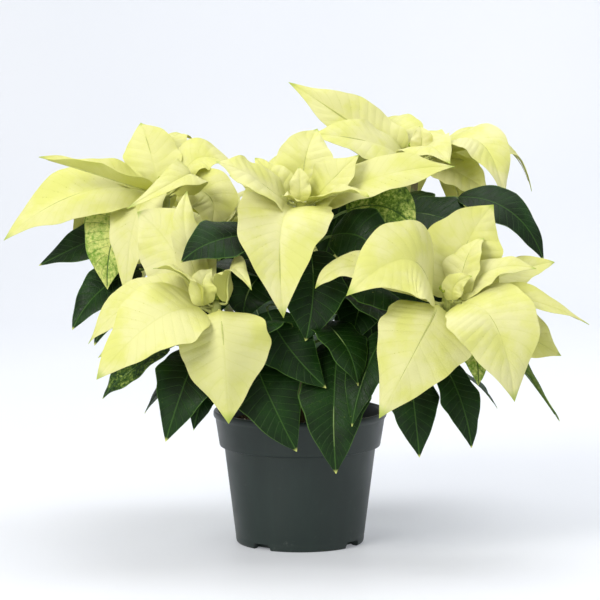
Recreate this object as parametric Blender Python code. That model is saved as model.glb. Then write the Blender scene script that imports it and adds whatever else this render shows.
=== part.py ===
"""A cream poinsettia growing in its nursery pot.

The plant stands at the origin: the middle of the pot's flat base is (0, 0, 0), +Z is up and the
side that faces the viewer is -Y. Lengths below are millimetres and are turned to metres only
when a mesh is made. Seven stems rise from the soil. Each carries dark green leaves and ends in a
head of cream bracts round a small cluster of green buds.
"""
import math
from collections import namedtuple

import bmesh
import bpy
import numpy as np
from mathutils.bvhtree import BVHTree

MM = 0.001
GAP = 0.3                 # left between pieces that touch

# Pot
POT_HEIGHT = 127.0
RIM_RADIUS = 82.5
BAND_HEIGHT = 33.5        # the collar below the rim
BAND_RADIUS = 76.8        # at the collar's lower edge
BODY_RADIUS = 72.3        # just under the collar
BASE_RADIUS = 60.6
POT_WALL = 1.6
POT_FLOOR = 8.0
FOOT_CUT = 6.0            # height of the drain notches
NOTCH_WIDTH = 20.0
NOTCH_HEADINGS = (-127.0, -35.0, 53.0, 143.0)
POT_SIDES = 32

# Soil
SOIL_TOP = 112.0
SOIL_SIDES = 16
HOLE_FLOOR = 84.0
HOLE_GAP = 0.4            # round a stem in its hole
HOLE_SIDES = 8

# Stems and heads
STEM_FOOT_RADIUS = 4.6
STEM_TOP_RADIUS = 3.2
STEM_CIRCLE = 27.0        # the stems leave the soil on this circle
STEM_SIDES = 6
STEM_STEPS = 8
STEM_LIFT = 4.0           # a stem starts to lean this far above the soil
STEM_RISE = (60.0, 70.0)  # how far it keeps straight at its foot and under its head
HUB_RADIUS = 5.0
HUB_LENGTH = 24.0
BUD_COUNT = 5
BUD_SIDES = 5
GOLDEN_ANGLE = 2.39996    # radians between one bud and the next

# Blades
BLADE_THICKNESS = 0.9
STALK_THICKNESS = 2.4
STALK_HALF_WIDTH = 1.3
CLEARANCE = 1.2           # kept between the blades of two heads or stems
STALK_LENGTHS = (18.0, 14.0, 11.0)   # of a large, a middling and a small bract
SHORT_BRACT = 60.0        # a bract shorter than this has the shortest stalk
HIGHEST_FOOT = 3.0        # how far below the head's top a steep bract grows from it
STEEP_RISE = 60.0         # degrees; a bract that rises so much is set at the very top
TAPER = 0.85              # how soon a blade narrows to its tip
TIP_PINCH = 0.45          # how much narrower still it is at the very tip
SHOULDER = 0.46           # where along the rib a leaf has its angular shoulders
SHOULDER_LENGTH = 0.12
LEAF_BASE = 0.6           # how soon a leaf widens from its stalk
LEAF_LOBE = 0.16          # how far its shoulders stand out
BACK_SWEEP = 0.35         # how far the lobes beside the stalk reach back
WAVES = 1.7               # waves along one edge
WAVE_SHIFT = 1.4          # radians between the waves of the two edges
OTHER_NODE = 100          # weight of a touch with another node, against 1 inside one head
ROSETTE_START = 0.12      # nearer the hub than this the bracts of one head may overlap

# The order in which blades settle
HAND_BRACT, HAND_LEAF, RULE_BRACT, RULE_LEAF, INNER_LEAF = range(5)

Blade = namedtuple("Blade", "foot root mid tip width face fold arch wave phase base lobe")
Spec = namedtuple("Spec", "mid tip width face fold arch wave base",
                  defaults=(12.0, -0.12, 2.5, 0.55))
LeafSpec = namedtuple("LeafSpec", "height root mid tip width face fold arch wave",
                      defaults=(10.0, -0.15, 2.0))

HUBS = {
    "left": (-127, -10, 341),
    "centre": (0, -60, 334),
    "right": (111, 70, 367),
    "front_left": (-77, -115, 246),
    "front_right": (135, -100, 248),
    "back_left": (-88, 112, 292),
    "back_right": (72, 152, 268),
}

# Bracts that the front shows, from the middle of each head outwards: the middle of the rib and
# its tip, from the hub, the width, and where the upper face looks
BRACTS = {
    "left": [
        Spec((-84, -15, -6), (-151, -20, -49), 72, (0, -0.8, 1), 10),
        Spec((-59, -33, 14), (-116, -40, 31), 38, (0, -0.2, 1), 42, 0.0),
        Spec((-14, 24, 32), (-24, 44, 62), 56, (0, -1, 0.4), 14, -0.1),
        Spec((22, -36, 14), (-33, -66, -15), 38, (0.3, -0.6, 1), 20),
        Spec((31, 18, 28), (70, 26, 16), 50, (0, -0.6, 1), 16),
        Spec((2, 55, 42), (24, 80, 42), 34, (0, -0.5, 1)),
        Spec((43, -16, 0), (49, -22, -34), 56, (0.1, -1, 0.5)),
    ],
    "centre": [
        Spec((-18, -48, -30), (-15, -60, -104), 92, (0, -1, 0.3), 16, -0.1, 3.0, 0.33),
        Spec((78, 0, 22), (144, 10, 29), 52, (0, -0.8, 1), 12),
        Spec((-52, -30, 11), (-89, -32, 16), 54, (0, -0.7, 1), 12),
        Spec((3, 20, 36), (13, 45, 66), 58, (0, -1, 0.6), 12),
        Spec((27, -6, 24), (45, 4, 48), 46, (-0.5, -0.7, 0.5), 16),
        Spec((-26, 36, 33), (-64, 65, 31), 58, (0, -0.7, 1)),
        Spec((-22, 2, 22), (-37, 14, 41), 36, (0.5, -0.7, 0.5), 14),
        Spec((0, -14, 16), (-1, -8, 30), 20, (0, -1, 0.2), 10),
        Spec((-6, -17, 2), (-18, -28, 5), 20, (0, -0.3, 1)),
        Spec((-35, 10, 25), (-58, 20, 34), 48, (0.1, -0.6, 1)),
        Spec((41, -36, 10), (66, -45, 6), 26, (0, -0.2, 1), 20),
    ],
    "right": [
        Spec((-60, 5, 28), (-122, 10, 67), 62, (0.2, -1, 0.8), 14, -0.12, 2.5, 0.45),
        Spec((61, -22, 12), (84, -46, -46), 60, (0.3, -0.7, 1), 14, -0.12, 2.5, 0.5),
        Spec((80, 20, 12), (117, 30, -33), 52, (0.3, -0.3, 1)),
        Spec((-52, -34, 15), (-103, -48, 20), 52, (0, -0.9, 1), 10),
        Spec((14, -38, 4), (34, -62, -18), 54, (0, -0.6, 1)),
        Spec((6, -15, 14), (4, -10, 26), 22, (0, -1, 0.2)),
        Spec((44, -10, -20), (70, -18, -36), 46, (0.2, -0.8, 0.8)),
    ],
    "front_left": [
        Spec((8, -37, -38), (12, -28, -110), 88, (0, -1, 0.2), -14, -0.05, 2.5, 0.75),
        Spec((-57, -40, -16), (-107, -45, -67), 76, (-0.2, -1, 0.8), 10),
        Spec((-68, -14, 8), (-121, -17, -27), 60, (-0.2, -0.8, 1)),
        Spec((-48, 24, 46), (-84, 35, 76), 72, (-0.2, -1, 0.3), 8, -0.12, 2.5, 0.6),
        Spec((-28, 17, 56), (-27, 31, 97), 28, (0.2, -1, 0.3), 10),
        Spec((-62, 4, -22), (-108, 10, -54), 50, (-0.3, -0.8, 0.8)),
        Spec((-12, -15, 16), (-3, -8, 30), 26, (0.2, -1, 0.4)),
        Spec((14, -6, 29), (33, -24, 12), 34, (0, -0.4, 1), 22),
    ],
    "front_right": [
        Spec((-25, -46, -34), (-63, -50, -106), 90, (-0.1, -1, 0.3), -14, -0.05, 2.5, 0.6),
        Spec((42, -42, -20), (60, -48, -91), 88, (0.3, -1, 0.5), 10, -0.1, 2.5, 0.65),
        Spec((-38, -33, 38), (-93, -50, 6), 86, (0, -1, 0.6), 10),
        Spec((18, 28, 42), (45, 44, 80), 80, (0, -1, 0.5), 10),
        Spec((66, -6, 6), (133, -2, -10), 38, (0, -0.5, 1), 20),
        Spec((59, 36, 32), (101, 50, 53), 44, (0, -0.7, 1)),
        Spec((67, -12, -23), (111, -8, -42), 62, (0.2, -0.8, 0.8)),
        Spec((6, -12, 12), (20, -20, 22), 22, (0, -1, 0.6)),
        Spec((42, 0, 22), (84, 2, 20), 34, (0, -0.7, 1)),
        Spec((-80, -10, 28), (-121, -18, 9), 40, (0, -0.8, 1)),
    ],
    "back_left": [],
    "back_right": [],
}

# Rings of bracts set by a rule on the sides that the front hides: first heading, step and count
# (degrees, anticlockwise from +X), reach, height of the tip, height of the middle, width
RINGS = {
    "left": [(65, 52, 2, 66, 16, 22, 48), (112, 46, 2, 112, -24, 12, 64),
             (215, 60, 1, 92, -66, -14, 54)],
    "centre": [(70, 50, 2, 96, 10, 24, 60)],
    "right": [(75, 70, 2, 64, 10, 16, 48), (58, 44, 3, 112, -24, 10, 66),
              (20, 60, 2, 100, -58, -8, 56)],
    "front_left": [(195, 60, 1, 62, 24, 22, 40)],
    "front_right": [(20, 50, 1, 64, 26, 24, 42)],
    "back_left": [(20, 120, 3, 40, 32, 22, 31), (-8, 90, 4, 84, 14, 26, 54),
                  (58, 40, 5, 124, -44, 4, 70)],
    "back_right": [(60, 120, 3, 40, 32, 22, 31), (-20, 90, 4, 84, 12, 26, 54),
                   (-28, 42, 5, 122, -48, 2, 70)],
}

# Green leaves that the front shows: height up the stem where the stalk leaves it (0 to 1), then
# the blade's base, middle and tip from the pot's own origin, and its width
LEAVES = {
    "left": [
        LeafSpec(0.93, (-142, 0, 313), (-197, -5, 290), (-247, -10, 266), 46, (0, -0.8, 1)),
        LeafSpec(0.78, (-151, -20, 263), (-187, -40, 246), (-213, -50, 210), 40, (-0.3, -1, 0.6)),
        LeafSpec(0.95, (-146, -22, 318), (-172, -36, 296), (-176, -44, 245), 62, (-0.1, -1, 0.3)),
    ],
    "centre": [
        LeafSpec(0.86, (-36, -82, 302), (-78, -120, 296), (-112, -138, 271), 58, (0, -0.8, 0.9)),
        LeafSpec(0.80, (10, -78, 286), (12, -98, 249), (5, -106, 207), 58, (0, -1, 0.2)),
        LeafSpec(0.62, (-30, -88, 232), (-7, -108, 201), (28, -118, 169), 50, (0.3, -1, 0.3)),
        LeafSpec(0.42, (36, -70, 202), (31, -118, 150), (33, -128, 87), 60, (0, -1, 0.2)),
        LeafSpec(0.74, (42, -64, 268), (74, -84, 256), (112, -92, 228), 54, (0.2, -0.8, 0.6)),
        LeafSpec(0.94, (44, -48, 322), (78, -56, 326), (108, -62, 306), 64, (0, -1, 0.5)),
        LeafSpec(0.88, (30, -62, 300), (58, -76, 290), (74, -84, 258), 56, (0.1, -1, 0.4)),
        LeafSpec(0.72, (-24, -66, 268), (-46, -86, 254), (-52, -92, 222), 54, (-0.1, -1, 0.4)),
    ],
    "right": [
        LeafSpec(0.90, (150, 0, 330), (198, -18, 318), (230, -15, 271), 44, (0.3, -0.8, 0.8)),
        LeafSpec(0.84, (99, -5, 316), (136, -26, 312), (170, -38, 290), 56, (0, -0.8, 1)),
        LeafSpec(0.80, (84, 16, 326), (94, -8, 318), (100, -26, 286), 62, (0, -1, 0.5)),
        LeafSpec(0.62, (66, -16, 252), (58, -52, 240), (46, -84, 198), 60, (0, -1, 0.4)),
    ],
    "front_left": [
        LeafSpec(0.72, (-120, -95, 201), (-159, -102, 177), (-182, -105, 153), 30,
                 (-0.3, -0.6, 1)),
        LeafSpec(0.62, (-92, -98, 196), (-106, -122, 169), (-123, -129, 117), 56,
                 (-0.3, -1, 0.3)),
        LeafSpec(0.46, (-70, -84, 176), (-88, -104, 155), (-98, -108, 124), 26, (-0.3, -1, 0.3)),
        LeafSpec(0.52, (-46, -84, 198), (-35, -120, 154), (-13, -124, 103), 60, (0.1, -1, 0.2)),
    ],
    "front_right": [
        LeafSpec(0.62, (80, -82, 213), (62, -114, 172), (54, -122, 124), 34, (-0.4, -1, 0.2)),
        LeafSpec(0.44, (100, -78, 182), (105, -107, 147), (110, -115, 100), 44, (0, -1, 0.3)),
        LeafSpec(0.56, (130, -84, 190), (149, -104, 149), (158, -110, 108), 36, (0.4, -1, 0.3)),
        LeafSpec(0.90, (150, -92, 222), (161, -106, 198), (164, -108, 166), 30, (0.2, -1, 0.3)),
        LeafSpec(0.80, (166, -88, 226), (207, -92, 178), (240, -98, 131), 30, (1, 0.2, 0.6), 20),
    ],
    "back_left": [],
    "back_right": [],
}

# Leaves set by a rule: height up the stem, heading, reach of the stalk, length, width
RULE_LEAVES = {
    "left": [(0.70, 150, 42, 96, 56), (0.62, 212, 40, 92, 54), (0.66, 275, 30, 88, 52)],
    "centre": [(0.72, 95, 26, 70, 42), (0.70, 205, 34, 90, 56), (0.64, 335, 36, 92, 56),
               (0.50, 240, 38, 84, 50), (0.52, 300, 38, 84, 50)],
    "right": [(0.86, 104, 32, 76, 48), (0.66, 30, 44, 100, 58), (0.64, 215, 40, 96, 58),
              (0.56, 280, 44, 90, 54)],
    "front_left": [(0.52, 196, 34, 78, 48), (0.78, 20, 28, 84, 52)],
    "front_right": [(0.50, 8, 36, 86, 50), (0.80, 150, 30, 88, 54)],
    "back_left": [(0.84, 172, 38, 92, 54), (0.76, 122, 40, 100, 58), (0.66, 74, 36, 92, 54),
                  (0.54, 150, 44, 100, 56)],
    "back_right": [(0.84, 20, 38, 92, 54), (0.76, 70, 40, 100, 58), (0.66, 118, 36, 92, 54),
                   (0.54, 44, 46, 100, 56), (0.44, 92, 44, 88, 52)],
}

# Leaves deep inside the plant, placed last, where the front shows dark green between the heads
INNER_LEAVES = {
    "right": [
        LeafSpec(0.80, (42, 34, 328), (34, 28, 304), (22, 22, 266), 60, (0, -1, 0.3)),
        LeafSpec(0.45, (58, 30, 240), (66, 22, 212), (72, 14, 175), 58, (0, -1, 0.3)),
        LeafSpec(0.62, (118, 30, 256), (126, 24, 230), (130, 16, 195), 54, (0, -1, 0.3)),
    ],
    "left": [LeafSpec(0.62, (-66, 30, 286), (-74, 24, 256), (-80, 18, 214), 60, (0, -1, 0.3))],
}

CREAM = (0.86, 0.86, 0.44)
DARK_GREEN = (0.02, 0.075, 0.02)
BUD_GREEN = (0.33, 0.50, 0.06)
POT_GREEN = (0.02, 0.035, 0.03)
PEAT = (0.035, 0.022, 0.014)

# Outlines turned about each head's middle: the swollen stem end that the bracts grow from, and
# the cushion that the buds stand on
HUB_PROFILE = ((0, -HUB_LENGTH), (HUB_RADIUS - 1, -HUB_LENGTH), (HUB_RADIUS, -HUB_LENGTH / 2),
               (HUB_RADIUS - 1, 0), (0, 0))
BUD_BASE = ((0, GAP), (3.4, GAP), (4.2, 3.5), (7.0, 7.0), (0, 9.5))

# The grid of a blade: for each row, how far along the rib it lies and where its points lie
# across, from one edge to the other
ACROSS = (-1.0, -0.5, 0.0, 0.5, 1.0)
HALVES = (-1.0, 0.0, 1.0)
LARGE_ROWS = ((0.0, (-1, 1)), (0.12, ACROSS), (0.36, ACROSS), (0.62, ACROSS), (0.84, HALVES),
              (1.0, (0,)))
MEDIUM_ROWS = ((0.0, (-1, 1)), (0.15, HALVES), (0.42, ACROSS), (0.72, HALVES), (1.0, (0,)))
SMALL_ROWS = ((0.0, (-1, 1)), (0.32, HALVES), (0.68, HALVES), (1.0, (0,)))
LARGE_WIDTH = 57.0
SMALL_WIDTH = 32.0


def clear_scene():
    for item in list(bpy.data.objects):
        bpy.data.objects.remove(item, do_unlink=True)


def unit(vector):
    vector = np.asarray(vector, float)
    return vector / max(np.linalg.norm(vector), 1e-9)


def material(name, colour, roughness, metallic=0.0):
    made = bpy.data.materials.new(name)
    made.use_nodes = True
    shader = made.node_tree.nodes["Principled BSDF"]
    shader.inputs["Base Color"].default_value = (*colour, 1.0)
    shader.inputs["Roughness"].default_value = roughness
    shader.inputs["Metallic"].default_value = metallic
    return made


def make_object(name, points, faces, finish=None, recalculate=False):
    """An object from points in millimetres."""
    mesh = bpy.data.meshes.new(name)
    mesh.from_pydata([tuple(float(c) * MM for c in p) for p in points], [], faces)
    if recalculate:
        shape = bmesh.new()
        shape.from_mesh(mesh)
        bmesh.ops.recalc_face_normals(shape, faces=shape.faces)
        shape.to_mesh(mesh)
        shape.free()
    if finish:
        mesh.materials.append(finish)
    made = bpy.data.objects.new(name, mesh)
    bpy.context.scene.collection.objects.link(made)
    return made


def smooth(item, angle=35.0):
    item.data.shade_smooth()
    item.data.set_sharp_from_angle(angle=math.radians(angle))


def is_closed(mesh):
    """Whether every edge of the mesh joins exactly two faces."""
    shape = bmesh.new()
    shape.from_mesh(mesh)
    closed = all(len(edge.link_faces) == 2 for edge in shape.edges)
    shape.free()
    return closed


def keep_largest_shell(mesh):
    """Fill the hollows that a union seals and drop loose scraps: only the outer skin stays."""
    shape = bmesh.new()
    shape.from_mesh(mesh)
    waiting = set(shape.faces)
    shells = []
    while waiting:
        shell = [waiting.pop()]
        for face in shell:
            for edge in face.edges:
                for other in edge.link_faces if len(edge.link_faces) == 2 else ():
                    if other in waiting:
                        waiting.remove(other)
                        shell.append(other)
        shells.append(shell)
    shells.sort(key=len)
    for shell in shells[:-1]:
        bmesh.ops.delete(shape, geom=shell, context="FACES")
    shape.to_mesh(mesh)
    shape.free()


def use_boolean(item, operation, cutters, solvers=("EXACT", "MANIFOLD")):
    """Apply one Boolean with a collection of objects, then remove them.

    The first solver that gives a closed body is used. Blades that graze each other leave slivers
    with EXACT, so their unions start with MANIFOLD.
    """
    group = bpy.data.collections.new(item.name + "_cutters")
    bpy.context.scene.collection.children.link(group)
    for cutter in cutters:
        cutter.hide_render = True
        cutter.display_type = "WIRE"
        bpy.context.scene.collection.objects.unlink(cutter)
        group.objects.link(cutter)
    change = item.modifiers.new("Boolean", "BOOLEAN")
    change.operation = operation
    change.operand_type = "COLLECTION"
    change.collection = group
    for solver in solvers:
        change.solver = solver
        graph = bpy.context.evaluated_depsgraph_get()
        mesh = bpy.data.meshes.new_from_object(item.evaluated_get(graph), depsgraph=graph)
        if is_closed(mesh):
            break
    item.modifiers.remove(change)
    keep_largest_shell(mesh)
    old = item.data
    item.data = mesh
    mesh.name = item.name
    bpy.data.meshes.remove(old)
    for cutter in cutters:
        bpy.data.objects.remove(cutter, do_unlink=True)
    bpy.data.collections.remove(group)


def turned_shell(profile, sides, centre=(0, 0, 0)):
    """A closed shell turned about Z from (radius, height) points; a radius of 0 is on the axis."""
    points = []
    rings = []
    for radius, height in profile:
        if radius == 0:
            rings.append([len(points)] * sides)
            points.append((centre[0], centre[1], centre[2] + height))
            continue
        rings.append([len(points) + k for k in range(sides)])
        for k in range(sides):
            angle = 2 * math.pi * k / sides
            points.append((centre[0] + radius * math.cos(angle),
                           centre[1] + radius * math.sin(angle), centre[2] + height))
    faces = []
    for lower, upper in zip(rings, rings[1:]):
        for k in range(sides):
            after = (k + 1) % sides
            corners = (lower[k], lower[after], upper[after], upper[k])
            face = tuple(dict.fromkeys(corners))
            if len(face) > 2:
                faces.append(face)
    return points, faces


def turned_solid(name, profile, sides, finish=None, centre=(0, 0, 0)):
    return make_object(name, *turned_shell(profile, sides, centre), finish, recalculate=True)


def box(name, low, high):
    corners = [(x, y, z) for x in (low[0], high[0]) for y in (low[1], high[1])
               for z in (low[2], high[2])]
    faces = [(0, 1, 3, 2), (4, 6, 7, 5), (0, 4, 5, 1), (2, 3, 7, 6), (0, 2, 6, 4), (1, 5, 7, 3)]
    return make_object(name, corners, faces, recalculate=True)


def body_radius(height):
    """Outer radius of the tapered pot below its collar."""
    share = height / (POT_HEIGHT - BAND_HEIGHT)
    return BASE_RADIUS + (BODY_RADIUS - BASE_RADIUS) * share


def pot_profile():
    """Outline of the pot's wall: under the floor, up the outside, over the rim, down the inside."""
    collar = POT_HEIGHT - BAND_HEIGHT
    lip = RIM_RADIUS - 1.4
    inner_top = RIM_RADIUS - 5.2
    return [
        (0, 0), (BASE_RADIUS - 1.4, 0), (BASE_RADIUS + 0.3, 1.4),
        (body_radius(FOOT_CUT + 1.0), FOOT_CUT + 1.0), (body_radius(collar), collar - 1.2),
        (BAND_RADIUS - 0.6, collar), (BAND_RADIUS, collar + 1.0), (lip, POT_HEIGHT - 6.5),
        (RIM_RADIUS, POT_HEIGHT - 5.0), (RIM_RADIUS, POT_HEIGHT - 1.6),
        (RIM_RADIUS - 1.6, POT_HEIGHT), (inner_top, POT_HEIGHT),
        (BAND_RADIUS - POT_WALL, collar + 3), (BODY_RADIUS - POT_WALL, collar - 2),
        (body_radius(POT_FLOOR + 4) - POT_WALL - 0.4, POT_FLOOR + 4),
        (BASE_RADIUS - 5, POT_FLOOR), (0, POT_FLOOR),
    ]


def make_pot():
    pot = turned_solid("pot", pot_profile(), POT_SIDES, material("pot_plastic", POT_GREEN, 0.4))
    cutters = []
    for number, heading in enumerate(NOTCH_HEADINGS):
        cutter = box("notch_%d" % number, (BASE_RADIUS - 9, -NOTCH_WIDTH / 2, -2),
                     (BASE_RADIUS + 8, NOTCH_WIDTH / 2, FOOT_CUT))
        cutter.rotation_euler[2] = math.radians(heading)
        cutters.append(cutter)
    bpy.context.view_layer.update()
    use_boolean(pot, "DIFFERENCE", cutters)
    smooth(pot)


def make_soil(feet):
    finish = material("peat", PEAT, 0.95)
    floor = POT_FLOOR + GAP
    collar = POT_HEIGHT - BAND_HEIGHT
    wall = POT_WALL + GAP
    profile = [
        (0, floor), (BASE_RADIUS - 6, floor),
        (body_radius(POT_FLOOR + 4) - wall - 0.8, POT_FLOOR + 4.6),
        (BODY_RADIUS - wall - 0.4, collar - 2), (BAND_RADIUS - wall - 0.4, collar + 3),
        (BAND_RADIUS - wall + 0.5, SOIL_TOP - 1.5), (BAND_RADIUS - 8, SOIL_TOP + 1.0),
        (38, SOIL_TOP), (0, SOIL_TOP + 2.0),
    ]
    soil = turned_solid("soil", profile, SOIL_SIDES, finish)
    hole = STEM_FOOT_RADIUS + HOLE_GAP
    outline_of_hole = [(0, HOLE_FLOOR), (hole, HOLE_FLOOR), (hole, POT_HEIGHT), (0, POT_HEIGHT)]
    cutters = []
    for number, foot in enumerate(feet):
        cutter = turned_solid("hole_%d" % number, outline_of_hole, HOLE_SIDES)
        cutter.location = (foot[0] * MM, foot[1] * MM, 0)
        cutters.append(cutter)
    bpy.context.view_layer.update()
    use_boolean(soil, "DIFFERENCE", cutters)


def outline(t, base, lobe):
    """Half width of a blade at t along its rib, as a share of its largest."""
    t = np.clip(t, 1e-6, 1)
    peak = base / (base + TAPER)
    largest = peak ** base * (1 - peak) ** TAPER
    shape = t ** base * (1 - t) ** TAPER / largest * (1 - TIP_PINCH * t ** 6)
    return shape * (1 + lobe * np.clip(1 - np.abs(t - SHOULDER) / SHOULDER_LENGTH, 0, 1))


def rib(blade, t):
    """Point and direction at t along the rib, a curve from root through mid to tip."""
    t = np.asarray(t, float)[..., None]
    bend = 2 * blade.mid - (blade.root + blade.tip) / 2
    point = (1 - t) ** 2 * blade.root + 2 * t * (1 - t) * bend + t ** 2 * blade.tip
    along = 2 * (1 - t) * (bend - blade.root) + 2 * t * (blade.tip - bend)
    return point, along / np.linalg.norm(along, axis=-1, keepdims=True)


def blade_sides(blade, along):
    """Directions across the blade and up from its face, square to the rib."""
    side = unit(np.cross(blade.tip - blade.root, blade.face))
    side = side - (along @ side)[..., None] * along
    side = side / np.linalg.norm(side, axis=-1, keepdims=True)
    return side, np.cross(side, along)


def surface(blade, t, v):
    """Middle surface of a blade and its normal, at t along the rib and v across it."""
    t, v = np.broadcast_arrays(np.asarray(t, float), np.asarray(v, float))
    point, along = rib(blade, t)
    side, up = blade_sides(blade, along)
    fold = math.radians(blade.fold)
    half = np.maximum(blade.width / 2 * outline(t, blade.base, blade.lobe), STALK_HALF_WIDTH)
    ripple = np.sin(2 * math.pi * (WAVES * t + blade.phase) + WAVE_SHIFT * np.sign(v))
    rise = half * (np.abs(v) * math.sin(fold) + blade.arch * v ** 2)
    rise = rise + blade.wave * ripple * v ** 2 * np.sin(math.pi * t) ** 0.6
    back = -BACK_SWEEP * half * np.abs(v) * (1 - t) ** 3
    place = point + (half * v * math.cos(fold))[..., None] * side
    place = place + rise[..., None] * up + back[..., None] * along
    slope = np.sign(v) * math.tan(fold) + 2 * blade.arch * v
    normal = up - slope[..., None] * side
    return place, normal / np.linalg.norm(normal, axis=-1, keepdims=True)


def grid_rows(width):
    if width >= LARGE_WIDTH:
        return LARGE_ROWS
    return MEDIUM_ROWS if width >= SMALL_WIDTH else SMALL_ROWS


def stitch(first, second, places):
    """Triangles between two rows of points, walked side by side from edge to edge."""
    faces = []
    i = j = 0
    while i < len(first) - 1 or j < len(second) - 1:
        next_i = places[first[i + 1]] if i < len(first) - 1 else 9
        next_j = places[second[j + 1]] if j < len(second) - 1 else 9
        if next_i < next_j or (next_i == next_j and i <= j and next_i != 9):
            faces.append((first[i], first[i + 1], second[j]))
            i += 1
        else:
            faces.append((first[i], second[j + 1], second[j]))
            j += 1
    return faces


def stalk_section(blade, place, share):
    """The two points across a stalk and their normals.

    The section is the blade's own, turned by a share of the bend from the blade to the stalk, so
    that a stalk which leaves sharply sideways keeps its thickness.
    """
    point, along = rib(blade, 0.0)
    side, up = blade_sides(blade, along)
    stalk = unit(blade.root - blade.foot)
    axis = np.cross(along, stalk)
    bend = share * math.degrees(math.atan2(np.linalg.norm(axis), float(along @ stalk)))
    side, up = turn(side, axis, bend), turn(up, axis, bend)
    return place + np.outer((-STALK_HALF_WIDTH, STALK_HALF_WIDTH), side), np.array([up, up])


def blade_shell(blade, spare=0.0):
    """A closed blade with its stalk: points, faces and how far along the rib each point lies."""
    lines, along, across = [], [], []
    for t, places in grid_rows(blade.width):
        lines.append(list(range(len(along), len(along) + len(places))))
        along += [t] * len(places)
        across += places
    along, across = np.array(along, float), np.array(across, float)
    middle, normal = surface(blade, along, across)
    middle[:2], normal[:2] = stalk_section(blade, blade.root, 0.5)
    foot, foot_normal = stalk_section(blade, blade.foot, 1.0)
    middle, normal = np.vstack([middle, foot]), np.vstack([normal, foot_normal])
    thickness = np.where(along == 0, STALK_THICKNESS, BLADE_THICKNESS)
    half = np.append(thickness, [STALK_THICKNESS] * 2)[:, None] / 2 + spare
    count = len(middle)
    lines.insert(0, [count - 2, count - 1])
    across = np.append(across, (-1, 1))
    along = np.append(along, (0, 0))
    top = []
    for first, second in zip(lines, lines[1:]):
        top += stitch(first, second, across)
    faces = top + [(a + count, c + count, b + count) for a, b, c in top]
    border = [(a[0], b[0]) for a, b in zip(lines, lines[1:])]
    border += [(a[-1], b[-1]) for a, b in zip(lines, lines[1:])]
    border.append(tuple(lines[0]))
    for a, b in border:
        faces.append((a, b, b + count))
        faces.append((a, b + count, a + count))
    points = np.vstack([middle + half * normal, middle - half * normal])
    return points, faces, np.append(along, along)


def outer_faces(faces, along):
    """The faces of a blade that lie outside the crowded middle of its head."""
    return [face for face in faces if min(along[k] for k in face) >= ROSETTE_START]


def tree(points, faces):
    return BVHTree.FromPolygons([tuple(p) for p in points], faces)


def turn(vector, axis, degrees):
    """A vector turned about an axis."""
    axis = unit(axis)
    angle = math.radians(degrees)
    return (vector * math.cos(angle) + np.cross(axis, vector) * math.sin(angle)
            + axis * np.dot(axis, vector) * (1 - math.cos(angle)))


def swung(blade, pitch, yaw, length=1.0):
    """The blade swung up and round about its base, and made shorter."""
    side = np.cross(blade.tip - blade.root, (0, 0, 1.0))
    if np.linalg.norm(side) < 1:
        side = np.array((1.0, 0, 0))
    parts = []
    for end in (blade.mid, blade.tip):
        arm = turn((end - blade.root) * length, side, pitch)
        parts.append(blade.root + turn(arm, (0, 0, 1), yaw))
    face = turn(turn(blade.face, side, pitch), (0, 0, 1), yaw)
    return blade._replace(mid=parts[0], tip=parts[1], face=face, width=blade.width * length)


class Bed:
    """The blades and stems placed so far, and the test that a new blade stays clear of them."""

    def __init__(self):
        self.placed = []

    def add_solid(self, node, points, faces):
        whole = tree(points, faces)
        self.placed.append((node, np.min(points, axis=0), np.max(points, axis=0), whole, whole))

    def add_blade(self, node, blade):
        points, faces, along = blade_shell(blade)
        self.placed.append((node, points.min(axis=0), points.max(axis=0), tree(points, faces),
                            tree(points, outer_faces(faces, along))))

    def hits(self, node, blade):
        """How many faces of the blade meet something, counted much more for another node."""
        points, faces, along = blade_shell(blade, CLEARANCE)
        low, high = points.min(axis=0), points.max(axis=0)
        near = [item for item in self.placed
                if not (np.any(low > item[2]) or np.any(high < item[1]))]
        if not near:
            return 0
        whole = tree(points, faces)
        outer = tree(points, outer_faces(faces, along))
        total = 0
        for other, _, _, other_whole, other_outer in near:
            if other == node:
                total += len(outer.overlap(other_outer))
            else:
                total += OTHER_NODE * len(whole.overlap(other_whole))
        return total

    def settle(self, node, blade, limit):
        """Place the blade with the smallest swing that keeps it clear of all the others."""
        best = None
        for length, reach in ((1.0, 1.0), (0.86, 1.0), (0.7, 1.5)):
            if best and best[0] < OTHER_NODE:
                break
            swings = range(-int(limit * reach), int(limit * reach) + 1, 4)
            tries = sorted((abs(p) + 1.2 * abs(y), p, y) for p in swings for y in swings)
            for _, pitch, yaw in tries:
                candidate = swung(blade, pitch, yaw, length)
                count = self.hits(node, candidate)
                if best is None or count < best[0]:
                    best = (count, candidate)
                if count == 0:
                    break
        self.add_blade(node, best[1])
        return best[1]


def bract_from(hub, spec, order):
    """A bract of one head, given from its hub: the steeper it rises, the higher it is set.

    Its place in the order sets where the waves of its edges start.
    """
    hub = np.array(hub, float)
    mid = np.array(spec.mid, float)
    stalk = STALK_LENGTHS[0] if spec.width >= LARGE_WIDTH else STALK_LENGTHS[1]
    if spec.width < SMALL_WIDTH or np.linalg.norm(spec.tip) < SHORT_BRACT:
        stalk = STALK_LENGTHS[2]
    rise = math.degrees(math.atan2(mid[2], math.hypot(mid[0], mid[1])))
    share = min(max((STEEP_RISE - rise) / 100.0, 0.0), 1.0)
    drop = HIGHEST_FOOT + (HUB_LENGTH - 8.0) * share
    foot = hub - (0, 0, drop)
    root = hub + unit((mid[0], mid[1], 0)) * stalk - (0, 0, drop * 0.4)
    return Blade(foot, root, hub + mid, hub + np.array(spec.tip, float), spec.width,
                 np.array(spec.face, float), spec.fold, spec.arch, spec.wave,
                 (order * 0.38) % 1.0, spec.base, 0.0)


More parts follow.
